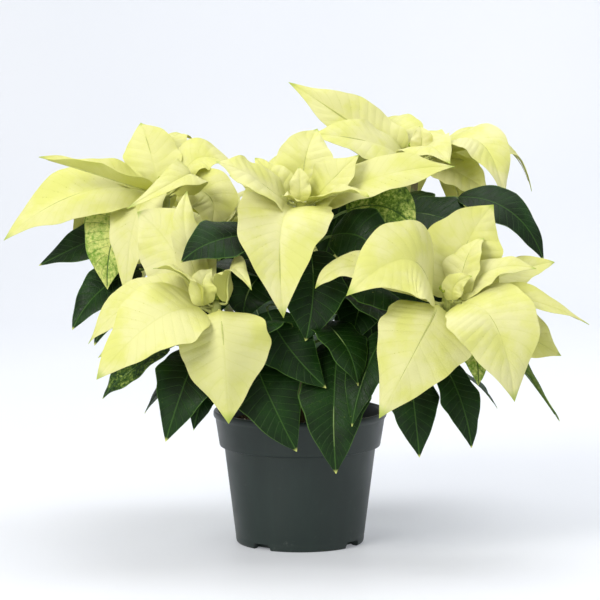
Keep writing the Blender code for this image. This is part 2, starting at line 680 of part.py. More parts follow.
def ring_specs(ring):
    first, step, count, reach, tip_height, mid_height, width = ring
    specs = []
    for k in range(count):
        heading = math.radians(first + step * k)
        out = np.array((math.cos(heading), math.sin(heading), 0.0))
        stretch = 1.0 + 0.07 * math.sin(2.4 * k + first)
        mid = out * reach * 0.56 * stretch + (0, 0, mid_height)
        tip = out * reach * stretch + (0, 0, tip_height)
        face = out * (-0.5 if tip_height > mid_height else 0.3) + (0, 0, 1)
        specs.append(Spec(mid, tip, width, face))
    return specs


def stem_path(name, t):
    """Point on the middle line of a stem, from the soil to the head."""
    hub = np.array(HUBS[name], float)
    foot = stem_foot(name)
    top = hub - (0, 0, HUB_LENGTH + GAP)
    first = foot + (0, 0, STEM_RISE[0])
    last = top - (0, 0, STEM_RISE[1])
    t = np.asarray(t, float)[..., None]
    return ((1 - t) ** 3 * foot + 3 * t * (1 - t) ** 2 * first + 3 * t ** 2 * (1 - t) * last
            + t ** 3 * top)


def stem_foot(name):
    """Where a stem leaves the soil; it stands straight in its hole below this point."""
    hub = np.array(HUBS[name], float)
    return unit((hub[0], hub[1], 0)) * STEM_CIRCLE + (0, 0, SOIL_TOP + STEM_LIFT)


def stem_shell(name):
    """Points and faces of a tapered stem."""
    steps = STEM_STEPS + 1
    points, faces = [], []
    for k in range(steps + 1):
        t = max(k - 1, 0) / STEM_STEPS
        middle = stem_path(name, t)
        if k == 0:
            middle = middle * (1, 1, 0) + (0, 0, HOLE_FLOOR + GAP)
        along = unit(stem_path(name, min(t + 0.02, 1)) - stem_path(name, max(t - 0.02, 0)))
        if k in (0, 1, steps):
            along = np.array((0, 0, 1.0))
        side = unit(np.cross(along, (0, 1, 0)))
        up = np.cross(side, along)
        radius = STEM_FOOT_RADIUS + (STEM_TOP_RADIUS - STEM_FOOT_RADIUS) * t
        for corner in range(STEM_SIDES):
            angle = 2 * math.pi * corner / STEM_SIDES
            points.append(middle + radius * (math.cos(angle) * side + math.sin(angle) * up))
    for k in range(steps):
        for corner in range(STEM_SIDES):
            a = k * STEM_SIDES + corner
            b = k * STEM_SIDES + (corner + 1) % STEM_SIDES
            faces.append((a, b, b + STEM_SIDES))
            faces.append((a, b + STEM_SIDES, a + STEM_SIDES))
    faces.append(tuple(range(STEM_SIDES))[::-1])
    faces.append(tuple(range(steps * STEM_SIDES, (steps + 1) * STEM_SIDES)))
    return np.array(points), faces


def leaf_from(name, spec, order):
    foot = stem_path(name, spec.height)
    return Blade(foot, np.array(spec.root, float), np.array(spec.mid, float),
                 np.array(spec.tip, float), spec.width, np.array(spec.face, float), spec.fold,
                 spec.arch, spec.wave, (order * 0.31) % 1.0, LEAF_BASE, LEAF_LOBE)


def rule_leaf(name, rule, order):
    height, heading, stalk, length, width = rule
    foot = stem_path(name, height)
    out = np.array((math.cos(math.radians(heading)), math.sin(math.radians(heading)), 0.0))
    root = foot + out * stalk + (0, 0, 8.0)
    mid = root + out * length * 0.48 - (0, 0, length * 0.08)
    tip = root + out * length * 0.84 - (0, 0, length * 0.46)
    face = out * 0.4 + (0, 0, 1)
    return leaf_from(name, LeafSpec(height, root, mid, tip, width, face), order)


def bud_shapes(name):
    """The buds of one head: places and sizes by the sunflower rule, from the hub up."""
    hub = np.array(HUBS[name], float)
    shapes = []
    for k in range(BUD_COUNT):
        angle = GOLDEN_ANGLE * k
        reach = 3.1 * math.sqrt(k)
        place = hub + (reach * math.cos(angle), reach * math.sin(angle), 9.0 - 0.5 * k)
        shapes.append((place, 2.6 + 0.12 * k))
    return shapes


def bud_shell(place, size):
    """Points and faces of one egg-shaped bud."""
    profile = [(0, -1.5 * size), (0.9 * size, -0.6 * size), (0.85 * size, 0.8 * size),
               (0, 1.5 * size)]
    return turned_shell(profile, BUD_SIDES, place)


def make_buds(name, finish):
    buds = turned_solid("buds_" + name, BUD_BASE, STEM_SIDES, finish, HUBS[name])
    others = []
    for number, (place, size) in enumerate(bud_shapes(name)):
        points, faces = bud_shell(place, size)
        others.append(make_object("bud_%d" % number, points, faces, recalculate=True))
    use_boolean(buds, "UNION", others)
    smooth(buds, 50)


def fuse_blades(base, blades):
    others = []
    for number, blade in enumerate(blades):
        points, faces, _ = blade_shell(blade)
        others.append(make_object("blade_%d" % number, points, faces, recalculate=True))
    use_boolean(base, "UNION", others, ("MANIFOLD", "EXACT"))
    smooth(base)


def arrange():
    """Settle every blade, the ones that the front shows first and then those set by a rule.

    Gives the bracts and the leaves of each stem.
    """
    bed = Bed()
    bracts = {name: [] for name in HUBS}
    leaves = {name: [] for name in HUBS}
    bed.add_solid("pot", *turned_shell(pot_profile(), POT_SIDES))
    for name in HUBS:
        bed.add_solid("stem_" + name, *stem_shell(name))
        bed.add_solid("bloom_" + name, *turned_shell(HUB_PROFILE, STEM_SIDES, HUBS[name]))
        bed.add_solid("buds_" + name, *turned_shell(BUD_BASE, STEM_SIDES, HUBS[name]))
        for place, size in bud_shapes(name):
            bed.add_solid("buds_" + name, *bud_shell(place, size))
    jobs = []
    for name, specs in BRACTS.items():
        for order, spec in enumerate(specs):
            jobs.append((HAND_BRACT, name, bract_from(HUBS[name], spec, order), 16))
        order = len(specs)
        for ring in RINGS[name]:
            for spec in ring_specs(ring):
                jobs.append((RULE_BRACT, name, bract_from(HUBS[name], spec, order), 32))
                order += 1
    for name, specs in LEAVES.items():
        for order, spec in enumerate(specs):
            jobs.append((HAND_LEAF, name, leaf_from(name, spec, order), 16))
        for order, rule in enumerate(RULE_LEAVES[name]):
            jobs.append((RULE_LEAF, name, rule_leaf(name, rule, order), 32))
        for order, spec in enumerate(INNER_LEAVES.get(name, [])):
            jobs.append((INNER_LEAF, name, leaf_from(name, spec, order), 24))
    for stage, name, blade, limit in sorted(jobs, key=lambda job: job[0]):
        leafy = stage in (HAND_LEAF, RULE_LEAF, INNER_LEAF)
        node = ("stem_" if leafy else "bloom_") + name
        placed = bed.settle(node, blade, limit)
        (leaves if leafy else bracts)[name].append(placed)
    return bracts, leaves


def main():
    clear_scene()
    bracts, leaves = arrange()
    make_pot()
    make_soil([stem_foot(name) for name in HUBS])
    cream = material("cream_bract", CREAM, 0.5)
    green = material("green_leaf", DARK_GREEN, 0.4)
    bud = material("green_bud", BUD_GREEN, 0.5)
    for name in HUBS:
        stem = make_object("stem_" + name, *stem_shell(name), green, recalculate=True)
        fuse_blades(stem, leaves[name])
        hub = turned_solid("bloom_" + name, HUB_PROFILE, STEM_SIDES, cream, HUBS[name])
        fuse_blades(hub, bracts[name])
        make_buds(name, bud)


main()
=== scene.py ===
"""A cream poinsettia in its nursery pot, dressed for a soft studio photograph.

The frame gives the plain solids. This file gives each of them its living surface: quilted, veined
bracts and leaves on round stalks, woody stems, bud clusters, loose peat and a moulded pot. The
arrangement of the blades repeats the rules that made the solids, in millimetres, so that every
bract and leaf lies where its solid does. The side that faces the viewer is -Y, and +Z is up.
"""
import sys

import logging
import math
from dataclasses import dataclass, field
from enum import Enum
from typing import NamedTuple

import bpy
import numpy as np
from bpy.types import Material, Mesh, Node, NodeSocket, NodeTree, Object
from mathutils import Matrix, Vector
from mathutils.bvhtree import BVHTree
from numpy import ndarray

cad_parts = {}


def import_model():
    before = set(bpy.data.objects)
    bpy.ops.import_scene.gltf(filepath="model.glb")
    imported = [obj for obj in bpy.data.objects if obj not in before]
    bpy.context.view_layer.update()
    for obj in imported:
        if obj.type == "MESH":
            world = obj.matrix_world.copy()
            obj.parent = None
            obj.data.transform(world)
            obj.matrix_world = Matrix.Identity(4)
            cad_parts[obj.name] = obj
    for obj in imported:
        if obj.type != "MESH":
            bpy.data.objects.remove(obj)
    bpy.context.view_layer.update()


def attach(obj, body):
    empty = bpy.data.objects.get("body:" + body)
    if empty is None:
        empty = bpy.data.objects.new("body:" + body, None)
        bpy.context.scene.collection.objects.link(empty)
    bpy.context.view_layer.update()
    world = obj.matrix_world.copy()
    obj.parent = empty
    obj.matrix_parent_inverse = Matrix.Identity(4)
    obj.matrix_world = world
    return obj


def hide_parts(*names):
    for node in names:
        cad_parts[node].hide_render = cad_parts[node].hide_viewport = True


Sheet = tuple[ndarray, ndarray, dict[str, ndarray]]
LOG = logging.getLogger("poinsettia")
MM = 0.001

# Sizes that the solids were made with
GAP = 0.3
POT_HEIGHT = 127.0
RIM_RADIUS = 82.5
BAND_HEIGHT = 33.5
BAND_RADIUS = 76.8
BODY_RADIUS = 72.3
BASE_RADIUS = 60.6
POT_WALL = 1.6
POT_FLOOR = 8.0
FOOT_CUT = 6.0
NOTCH_WIDTH = 20.0
NOTCH_HEADINGS = (-127.0, -35.0, 53.0, 143.0)
POT_SIDES = 32
SOIL_TOP = 112.0
HOLE_FLOOR = 84.0
STEM_LIFT = 4.0
STEM_RISE = (60.0, 70.0)
STEM_FOOT_RADIUS = 4.6
STEM_TOP_RADIUS = 3.2
STEM_CIRCLE = 27.0
STEM_SIDES = 6
STEM_STEPS = 8
HUB_RADIUS = 5.0
HUB_LENGTH = 24.0
BUD_COUNT = 5
BUD_SIDES = 5
GOLDEN_ANGLE = 2.39996
BLADE_THICKNESS = 0.9
STALK_THICKNESS = 2.4
STALK_HALF_WIDTH = 1.3
CLEARANCE = 1.2
STALK_LENGTHS = (18.0, 14.0, 11.0)
SHORT_BRACT = 60.0
HIGHEST_FOOT = 3.0
STEEP_RISE = 60.0
TAPER = 0.85
TIP_PINCH = 0.45
SHOULDER = 0.46
SHOULDER_LENGTH = 0.12
LEAF_BASE = 0.6
LEAF_LOBE = 0.16
BACK_SWEEP = 0.35
WAVES = 1.7
WAVE_SHIFT = 1.4
OTHER_NODE = 100
ROSETTE_START = 0.12
HUB_PROFILE = ((0, -HUB_LENGTH), (HUB_RADIUS - 1, -HUB_LENGTH), (HUB_RADIUS, -HUB_LENGTH / 2),
               (HUB_RADIUS - 1, 0), (0, 0))
BUD_BASE = ((0, GAP), (3.4, GAP), (4.2, 3.5), (7.0, 7.0), (0, 9.5))
ACROSS = (-1.0, -0.5, 0.0, 0.5, 1.0)
HALVES = (-1.0, 0.0, 1.0)
LARGE_ROWS = ((0.0, (-1, 1)), (0.12, ACROSS), (0.36, ACROSS), (0.62, ACROSS), (0.84, HALVES),
              (1.0, (0,)))
MEDIUM_ROWS = ((0.0, (-1, 1)), (0.15, HALVES), (0.42, ACROSS), (0.72, HALVES), (1.0, (0,)))
SMALL_ROWS = ((0.0, (-1, 1)), (0.32, HALVES), (0.68, HALVES), (1.0, (0,)))
LARGE_WIDTH = 57.0
SMALL_WIDTH = 32.0
PAST_EDGE = 9
SLOPE_STEP = 0.02

# Where a bract's stalk starts, and the shares of a ring's reach that its bracts take up
RISE_RANGE = 100.0
FREE_LENGTH = 8.0
ROOT_DROP = 0.4
RING_MIDDLE = 0.56
RING_SWELL = 0.07
RING_BEAT = 2.4
RISING_FACE = -0.5
HANGING_FACE = 0.3

# A leaf set by a rule: lift of its base, then how far out and down its middle and tip lie, as
# shares of its length, and how far its face looks out
LEAF_LIFT = 8.0
LEAF_MIDDLE = (0.48, 0.08)
LEAF_END = (0.84, 0.46)
LEAF_FACE = 0.4

# Where the waves of the edges start, from one blade of a list to the next
BRACT_PHASE = 0.38
LEAF_PHASE = 0.31

# How a blade is swung clear: degrees between two tries, what a degree sideways costs more than
# one upwards, and the lengths that are tried, each with its share of the largest swing
SWING_STEP = 4
YAW_COST = 1.2
SHORTER = ((1.0, 1.0), (0.86, 1.0), (0.7, 1.5))

# The solid buds of one head, which stand by the sunflower rule
BUD_REACH = 3.1
BUD_HEIGHT = 9.0
BUD_DROP = 0.5
BUD_SIZE = 2.6
BUD_GROWTH = 0.12
BUD_PROFILE = ((0, -1.5), (0.9, -0.6), (0.85, 0.8), (0, 1.5))


class Stage(Enum):
    """The order in which the blades settle."""

    HAND_BRACT = 0
    HAND_LEAF = 1
    RULE_BRACT = 2
    RULE_LEAF = 3
    INNER_LEAF = 4


LEAFY_STAGES = (Stage.HAND_LEAF, Stage.RULE_LEAF, Stage.INNER_LEAF)
SWING_LIMITS = {Stage.HAND_BRACT: 16, Stage.HAND_LEAF: 16, Stage.RULE_BRACT: 32,
                Stage.RULE_LEAF: 32, Stage.INNER_LEAF: 24}


class Blade(NamedTuple):
    """One bract or leaf: its stalk's foot, then the rib from root through mid to tip."""

    foot: ndarray
    root: ndarray
    mid: ndarray
    tip: ndarray
    width: float
    face: ndarray
    fold: float
    arch: float
    wave: float
    phase: float
    base: float
    lobe: float
    pale: float = 0.0


class Spec(NamedTuple):
    """A bract given from the middle of its head."""

    mid: tuple
    tip: tuple
    width: float
    face: tuple
    fold: float = 12.0
    arch: float = -0.12
    wave: float = 2.5
    base: float = 0.55


class LeafSpec(NamedTuple):
    """A leaf given from the pot's own origin."""

    height: float
    root: tuple
    mid: tuple
    tip: tuple
    width: float
    face: tuple
    fold: float = 10.0
    arch: float = -0.15
    wave: float = 2.0


HUBS = {
    "left": (-127, -10, 341),
    "centre": (0, -60, 334),
    "right": (111, 70, 367),
    "front_left": (-77, -115, 246),
    "front_right": (135, -100, 248),
    "back_left": (-88, 112, 292),
    "back_right": (72, 152, 268),
}

# Bracts that the front shows, from the middle of each head outwards: the middle of the rib and
# its tip, from the hub, the width, where the upper face looks, then what else a Spec holds
BRACTS = {
    "left": [
        ((-84, -15, -6), (-151, -20, -49), 72, (0, -0.8, 1), 10),
        ((-59, -33, 14), (-116, -40, 31), 38, (0, -0.2, 1), 42, 0.0),
        ((-14, 24, 32), (-24, 44, 62), 56, (0, -1, 0.4), 14, -0.1),
        ((22, -36, 14), (-33, -66, -15), 38, (0.3, -0.6, 1), 20),
        ((31, 18, 28), (70, 26, 16), 50, (0, -0.6, 1), 16),
        ((2, 55, 42), (24, 80, 42), 34, (0, -0.5, 1)),
        ((43, -16, 0), (49, -22, -34), 56, (0.1, -1, 0.5)),
    ],
    "centre": [
        ((-18, -48, -30), (-15, -60, -104), 92, (0, -1, 0.3), 16, -0.1, 3.0, 0.33),
        ((78, 0, 22), (144, 10, 29), 52, (0, -0.8, 1), 12),
        ((-52, -30, 11), (-89, -32, 16), 54, (0, -0.7, 1), 12),
        ((3, 20, 36), (13, 45, 66), 58, (0, -1, 0.6), 12),
        ((27, -6, 24), (45, 4, 48), 46, (-0.5, -0.7, 0.5), 16),
        ((-26, 36, 33), (-64, 65, 31), 58, (0, -0.7, 1)),
        ((-22, 2, 22), (-37, 14, 41), 36, (0.5, -0.7, 0.5), 14),
        ((0, -14, 16), (-1, -8, 30), 20, (0, -1, 0.2), 10),
        ((-6, -17, 2), (-18, -28, 5), 20, (0, -0.3, 1)),
        ((-35, 10, 25), (-58, 20, 34), 48, (0.1, -0.6, 1)),
        ((41, -36, 10), (66, -45, 6), 26, (0, -0.2, 1), 20),
    ],
    "right": [
        ((-60, 5, 28), (-122, 10, 67), 62, (0.2, -1, 0.8), 14, -0.12, 2.5, 0.45),
        ((61, -22, 12), (84, -46, -46), 60, (0.3, -0.7, 1), 14, -0.12, 2.5, 0.5),
        ((80, 20, 12), (117, 30, -33), 52, (0.3, -0.3, 1)),
        ((-52, -34, 15), (-103, -48, 20), 52, (0, -0.9, 1), 10),
        ((14, -38, 4), (34, -62, -18), 54, (0, -0.6, 1)),
        ((6, -15, 14), (4, -10, 26), 22, (0, -1, 0.2)),
        ((44, -10, -20), (70, -18, -36), 46, (0.2, -0.8, 0.8)),
    ],
    "front_left": [
        ((8, -37, -38), (12, -28, -110), 88, (0, -1, 0.2), -14, -0.05, 2.5, 0.75),
        ((-57, -40, -16), (-107, -45, -67), 76, (-0.2, -1, 0.8), 10),
        ((-68, -14, 8), (-121, -17, -27), 60, (-0.2, -0.8, 1)),
        ((-48, 24, 46), (-84, 35, 76), 72, (-0.2, -1, 0.3), 8, -0.12, 2.5, 0.6),
        ((-28, 17, 56), (-27, 31, 97), 28, (0.2, -1, 0.3), 10),
        ((-62, 4, -22), (-108, 10, -54), 50, (-0.3, -0.8, 0.8)),
        ((-12, -15, 16), (-3, -8, 30), 26, (0.2, -1, 0.4)),
        ((14, -6, 29), (33, -24, 12), 34, (0, -0.4, 1), 22),
    ],
    "front_right": [
        ((-25, -46, -34), (-63, -50, -106), 90, (-0.1, -1, 0.3), -14, -0.05, 2.5, 0.6),
        ((42, -42, -20), (60, -48, -91), 88, (0.3, -1, 0.5), 10, -0.1, 2.5, 0.65),
        ((-38, -33, 38), (-93, -50, 6), 86, (0, -1, 0.6), 10),
        ((18, 28, 42), (45, 44, 80), 80, (0, -1, 0.5), 10),
        ((66, -6, 6), (133, -2, -10), 38, (0, -0.5, 1), 20),
        ((59, 36, 32), (101, 50, 53), 44, (0, -0.7, 1)),
        ((67, -12, -23), (111, -8, -42), 62, (0.2, -0.8, 0.8)),
        ((6, -12, 12), (20, -20, 22), 22, (0, -1, 0.6)),
        ((42, 0, 22), (84, 2, 20), 34, (0, -0.7, 1)),
        ((-80, -10, 28), (-121, -18, 9), 40, (0, -0.8, 1)),
    ],
    "back_left": [],
    "back_right": [],
}

# Rings of bracts set by a rule on the sides that the front hides: first heading, step and count
# (degrees, anticlockwise from +X), reach, height of the tip, height of the middle, width
RINGS = {
    "left": [(65, 52, 2, 66, 16, 22, 48), (112, 46, 2, 112, -24, 12, 64),
             (215, 60, 1, 92, -66, -14, 54)],
    "centre": [(70, 50, 2, 96, 10, 24, 60)],
    "right": [(75, 70, 2, 64, 10, 16, 48), (58, 44, 3, 112, -24, 10, 66),
              (20, 60, 2, 100, -58, -8, 56)],
    "front_left": [(195, 60, 1, 62, 24, 22, 40)],
    "front_right": [(20, 50, 1, 64, 26, 24, 42)],
    "back_left": [(20, 120, 3, 40, 32, 22, 31), (-8, 90, 4, 84, 14, 26, 54),
                  (58, 40, 5, 124, -44, 4, 70)],
    "back_right": [(60, 120, 3, 40, 32, 22, 31), (-20, 90, 4, 84, 12, 26, 54),
                   (-28, 42, 5, 122, -48, 2, 70)],
}

# Green leaves that the front shows: height up the stem where the stalk leaves it (0 to 1), then
# the blade's base, middle and tip from the pot's own origin, its width, then as in a LeafSpec
LEAVES = {
    "left": [
        (0.93, (-142, 0, 313), (-197, -5, 290), (-247, -10, 266), 46, (0, -0.8, 1)),
        (0.78, (-151, -20, 263), (-187, -40, 246), (-213, -50, 210), 40, (-0.3, -1, 0.6)),
        (0.95, (-146, -22, 318), (-172, -36, 296), (-176, -44, 245), 62, (-0.1, -1, 0.3)),
    ],
    "centre": [
        (0.86, (-36, -82, 302), (-78, -120, 296), (-112, -138, 271), 58, (0, -0.8, 0.9)),
        (0.80, (10, -78, 286), (12, -98, 249), (5, -106, 207), 58, (0, -1, 0.2)),
        (0.62, (-30, -88, 232), (-7, -108, 201), (28, -118, 169), 50, (0.3, -1, 0.3)),
        (0.42, (36, -70, 202), (31, -118, 150), (33, -128, 87), 60, (0, -1, 0.2)),
        (0.74, (42, -64, 268), (74, -84, 256), (112, -92, 228), 54, (0.2, -0.8, 0.6)),
        (0.94, (44, -48, 322), (78, -56, 326), (108, -62, 306), 64, (0, -1, 0.5)),
        (0.88, (30, -62, 300), (58, -76, 290), (74, -84, 258), 56, (0.1, -1, 0.4)),
        (0.72, (-24, -66, 268), (-46, -86, 254), (-52, -92, 222), 54, (-0.1, -1, 0.4)),
    ],
    "right": [
        (0.90, (150, 0, 330), (198, -18, 318), (230, -15, 271), 44, (0.3, -0.8, 0.8)),
        (0.84, (99, -5, 316), (136, -26, 312), (170, -38, 290), 56, (0, -0.8, 1)),
        (0.80, (84, 16, 326), (94, -8, 318), (100, -26, 286), 62, (0, -1, 0.5)),
        (0.62, (66, -16, 252), (58, -52, 240), (46, -84, 198), 60, (0, -1, 0.4)),
    ],
    "front_left": [
        (0.72, (-120, -95, 201), (-159, -102, 177), (-182, -105, 153), 30, (-0.3, -0.6, 1)),
        (0.62, (-92, -98, 196), (-106, -122, 169), (-123, -129, 117), 56, (-0.3, -1, 0.3)),
        (0.46, (-70, -84, 176), (-88, -104, 155), (-98, -108, 124), 26, (-0.3, -1, 0.3)),
        (0.52, (-46, -84, 198), (-35, -120, 154), (-13, -124, 103), 60, (0.1, -1, 0.2)),
    ],
    "front_right": [
        (0.62, (80, -82, 213), (62, -114, 172), (54, -122, 124), 34, (-0.4, -1, 0.2)),
        (0.44, (100, -78, 182), (105, -107, 147), (110, -115, 100), 44, (0, -1, 0.3)),
        (0.56, (130, -84, 190), (149, -104, 149), (158, -110, 108), 36, (0.4, -1, 0.3)),
        (0.90, (150, -92, 222), (161, -106, 198), (164, -108, 166), 30, (0.2, -1, 0.3)),
        (0.80, (166, -88, 226), (207, -92, 178), (240, -98, 131), 30, (1, 0.2, 0.6), 20),
    ],
    "back_left": [],
    "back_right": [],
}

# Leaves set by a rule: height up the stem, heading, reach of the stalk, length, width
RULE_LEAVES = {
    "left": [(0.70, 150, 42, 96, 56), (0.62, 212, 40, 92, 54), (0.66, 275, 30, 88, 52)],
    "centre": [(0.72, 95, 26, 70, 42), (0.70, 205, 34, 90, 56), (0.64, 335, 36, 92, 56),
               (0.50, 240, 38, 84, 50), (0.52, 300, 38, 84, 50)],
    "right": [(0.86, 104, 32, 76, 48), (0.66, 30, 44, 100, 58), (0.64, 215, 40, 96, 58),
              (0.56, 280, 44, 90, 54)],
    "front_left": [(0.52, 196, 34, 78, 48), (0.78, 20, 28, 84, 52)],
    "front_right": [(0.50, 8, 36, 86, 50), (0.80, 150, 30, 88, 54)],
    "back_left": [(0.84, 172, 38, 92, 54), (0.76, 122, 40, 100, 58), (0.66, 74, 36, 92, 54),
                  (0.54, 150, 44, 100, 56)],
    "back_right": [(0.84, 20, 38, 92, 54), (0.76, 70, 40, 100, 58), (0.66, 118, 36, 92, 54),
                   (0.54, 44, 46, 100, 56), (0.44, 92, 44, 88, 52)],
}

# Leaves deep inside the plant, placed last, where the front shows dark green between the heads
INNER_LEAVES = {
    "right": [
        (0.80, (42, 34, 328), (34, 28, 304), (22, 22, 266), 60, (0, -1, 0.3)),
        (0.45, (58, 30, 240), (66, 22, 212), (72, 14, 175), 58, (0, -1, 0.3)),
        (0.62, (118, 30, 256), (126, 24, 230), (130, 16, 195), 54, (0, -1, 0.3)),
    ],
    "left": [(0.62, (-66, 30, 286), (-74, 24, 256), (-80, 18, 214), 60, (0, -1, 0.3))],
}

# Young leaves just under the heads that are turning cream: node, place in the list, how pale
TURNING_LEAVES = {("left", 2): 0.95, ("centre", 5): 0.5, ("front_right", 3): 0.7,
                  ("front_right", 4): 0.75, ("front_left", 0): 0.25}


def linear(code: str) -> tuple[float, float, float, float]:
    """Turn an sRGB hex colour to the linear values that a shader takes.

    Args:
        code: Six hex digits after a hash.

    Returns:
        Red, green, blue and alpha.
    """
    parts = [int(code[k:k + 2], 16) / 255 for k in (1, 3, 5)]
    parts = [c / 12.92 if c <= 0.04045 else ((c + 0.055) / 1.055) ** 2.4 for c in parts]
    return (*parts, 1.0)


def unit(vector: ndarray) -> ndarray:
    """A vector of length one along the given vector."""
    vector = np.asarray(vector, float)
    return vector / max(np.linalg.norm(vector), 1e-9)


def turn(vector: ndarray, axis: ndarray, degrees: float) -> ndarray:
    """A vector turned about an axis.

    Args:
        vector: The vector.
        axis: What it is turned about, of any length.
        degrees: How far, anticlockwise as seen against the axis.

    Returns:
        The turned vector.
    """
    axis = unit(axis)
    angle = math.radians(degrees)
    return (vector * math.cos(angle) + np.cross(axis, vector) * math.sin(angle)
            + axis * np.dot(axis, vector) * (1 - math.cos(angle)))


def turned_shell(profile: tuple, sides: int, centre: tuple = (0, 0, 0)) -> tuple[list, list]:
    """A closed shell turned about Z.

    Args:
        profile: Radius and height of each ring; a radius of 0 lies on the axis.
        sides: Number of sides.
        centre: Where the axis stands.

    Returns:
        Points and faces.
    """
    points: list = []
    rings: list = []
    for radius, height in profile:
        if radius == 0:
            rings.append([len(points)] * sides)
            points.append((centre[0], centre[1], centre[2] + height))
            continue
        rings.append([len(points) + k for k in range(sides)])
        for k in range(sides):
            angle = 2 * math.pi * k / sides
            points.append((centre[0] + radius * math.cos(angle),
                           centre[1] + radius * math.sin(angle), centre[2] + height))
    faces: list = []
    for lower, upper in zip(rings, rings[1:]):
        for k in range(sides):
            after = (k + 1) % sides
            face = tuple(dict.fromkeys((lower[k], lower[after], upper[after], upper[k])))
            if len(face) > 2:
                faces.append(face)
    return points, faces


# The surface of a blade, as the solids have it


def outline(t: ndarray, base: float, lobe: float) -> ndarray:
    """Half width of a blade along its rib.

    Args:
        t: Places along the rib, from 0 to 1.
        base: How soon the blade widens: the smaller, the sooner.
        lobe: How much the shoulder stands out.

    Returns:
        Half widths, as shares of the largest.
    """
    t = np.clip(t, 1e-6, 1)
    peak = base / (base + TAPER)
    largest = peak ** base * (1 - peak) ** TAPER
    shape = t ** base * (1 - t) ** TAPER / largest * (1 - TIP_PINCH * t ** 6)
    return shape * (1 + lobe * np.clip(1 - np.abs(t - SHOULDER) / SHOULDER_LENGTH, 0, 1))


def rib(blade: Blade, t: ndarray) -> tuple[ndarray, ndarray]:
    """The rib of a blade, a curve from root through mid to tip.

    Args:
        blade: The blade.
        t: Places along the rib, from 0 to 1.

    Returns:
        Points and directions.
    """
    t = np.asarray(t, float)[..., None]
    bend = 2 * blade.mid - (blade.root + blade.tip) / 2
    point = (1 - t) ** 2 * blade.root + 2 * t * (1 - t) * bend + t ** 2 * blade.tip
    along = 2 * (1 - t) * (bend - blade.root) + 2 * t * (blade.tip - bend)
    return point, along / np.linalg.norm(along, axis=-1, keepdims=True)


def blade_sides(blade: Blade, along: ndarray) -> tuple[ndarray, ndarray]:
    """Directions square to the rib of a blade.

    Args:
        blade: The blade.
        along: Directions of the rib.

    Returns:
        Directions across the blade and up from its face.
    """
    side = unit(np.cross(blade.tip - blade.root, blade.face))
    side = side - (along @ side)[..., None] * along
    side = side / np.linalg.norm(side, axis=-1, keepdims=True)
    return side, np.cross(side, along)


def surface(blade: Blade, t: ndarray, v: ndarray, least: float = STALK_HALF_WIDTH,
            spread: ndarray | float = 1.0) -> tuple[ndarray, ndarray, ndarray]:
    """Middle surface of a blade at t along the rib and v across it.

    Args:
        blade: The blade.
        t: Places along the rib, from 0 to 1.
        v: Places across, from -1 to 1.
        least: The smallest half width, where stalk and blade meet.
        spread: What the half width is multiplied by, for an uneven edge.

    Returns:
        Points, normals and half widths.
    """
    t, v = np.broadcast_arrays(np.asarray(t, float), np.asarray(v, float))
    point, along = rib(blade, t)
    side, up = blade_sides(blade, along)
    fold = math.radians(blade.fold)
    half = np.maximum(blade.width / 2 * outline(t, blade.base, blade.lobe) * spread, least)
    ripple = np.sin(2 * math.pi * (WAVES * t + blade.phase) + WAVE_SHIFT * np.sign(v))
    rise = half * (np.abs(v) * math.sin(fold) + blade.arch * v ** 2)
    rise = rise + blade.wave * ripple * v ** 2 * np.sin(math.pi * t) ** 0.6
    back = -BACK_SWEEP * half * np.abs(v) * (1 - t) ** 3
    place = point + (half * v * math.cos(fold))[..., None] * side
    place = place + rise[..., None] * up + back[..., None] * along
    slope = np.sign(v) * math.tan(fold) + 2 * blade.arch * v
    normal = up - slope[..., None] * side
    return place, normal / np.linalg.norm(normal, axis=-1, keepdims=True), half


# The coarse shells that the solids were settled with


def grid_rows(width: float) -> tuple:
    """The rows of the coarse grid of a blade.

    Args:
        width: The blade's width.

    Returns:
        For each row its place along the rib and the places across.
    """
    if width >= LARGE_WIDTH:
        return LARGE_ROWS
    return MEDIUM_ROWS if width >= SMALL_WIDTH else SMALL_ROWS


def stitch(first: list, second: list, places: ndarray) -> list:
    """Triangles between two rows of points, walked side by side from edge to edge.

    Args:
        first: Numbers of the points of the first row.
        second: Numbers of the points of the second row.
        places: Where each point lies across the blade.

    Returns:
        The triangles.
    """
    faces: list = []
    i = j = 0
    while i < len(first) - 1 or j < len(second) - 1:
        next_i = places[first[i + 1]] if i < len(first) - 1 else PAST_EDGE
        next_j = places[second[j + 1]] if j < len(second) - 1 else PAST_EDGE
        if next_i < next_j or (next_i == next_j and i <= j and next_i != PAST_EDGE):
            faces.append((first[i], first[i + 1], second[j]))
            i += 1
        else:
            faces.append((first[i], second[j + 1], second[j]))
            j += 1
    return faces


def stalk_section(blade: Blade, place: ndarray,
                  share: float) -> tuple[ndarray, ndarray]:
    """A cut across a stalk, two points wide.

    Args:
        blade: The blade that the stalk carries.
        place: Middle of the cut.
        share: How much of the bend from blade to stalk the cut has made.

    Returns:
        The two points and their normals.
    """
    _, along = rib(blade, 0.0)
    side, up = blade_sides(blade, along)
    stalk = unit(blade.root - blade.foot)
    axis = np.cross(along, stalk)
    bend = share * math.degrees(math.atan2(np.linalg.norm(axis), float(along @ stalk)))
    side, up = turn(side, axis, bend), turn(up, axis, bend)
    return place + np.outer((-STALK_HALF_WIDTH, STALK_HALF_WIDTH), side), np.array([up, up])


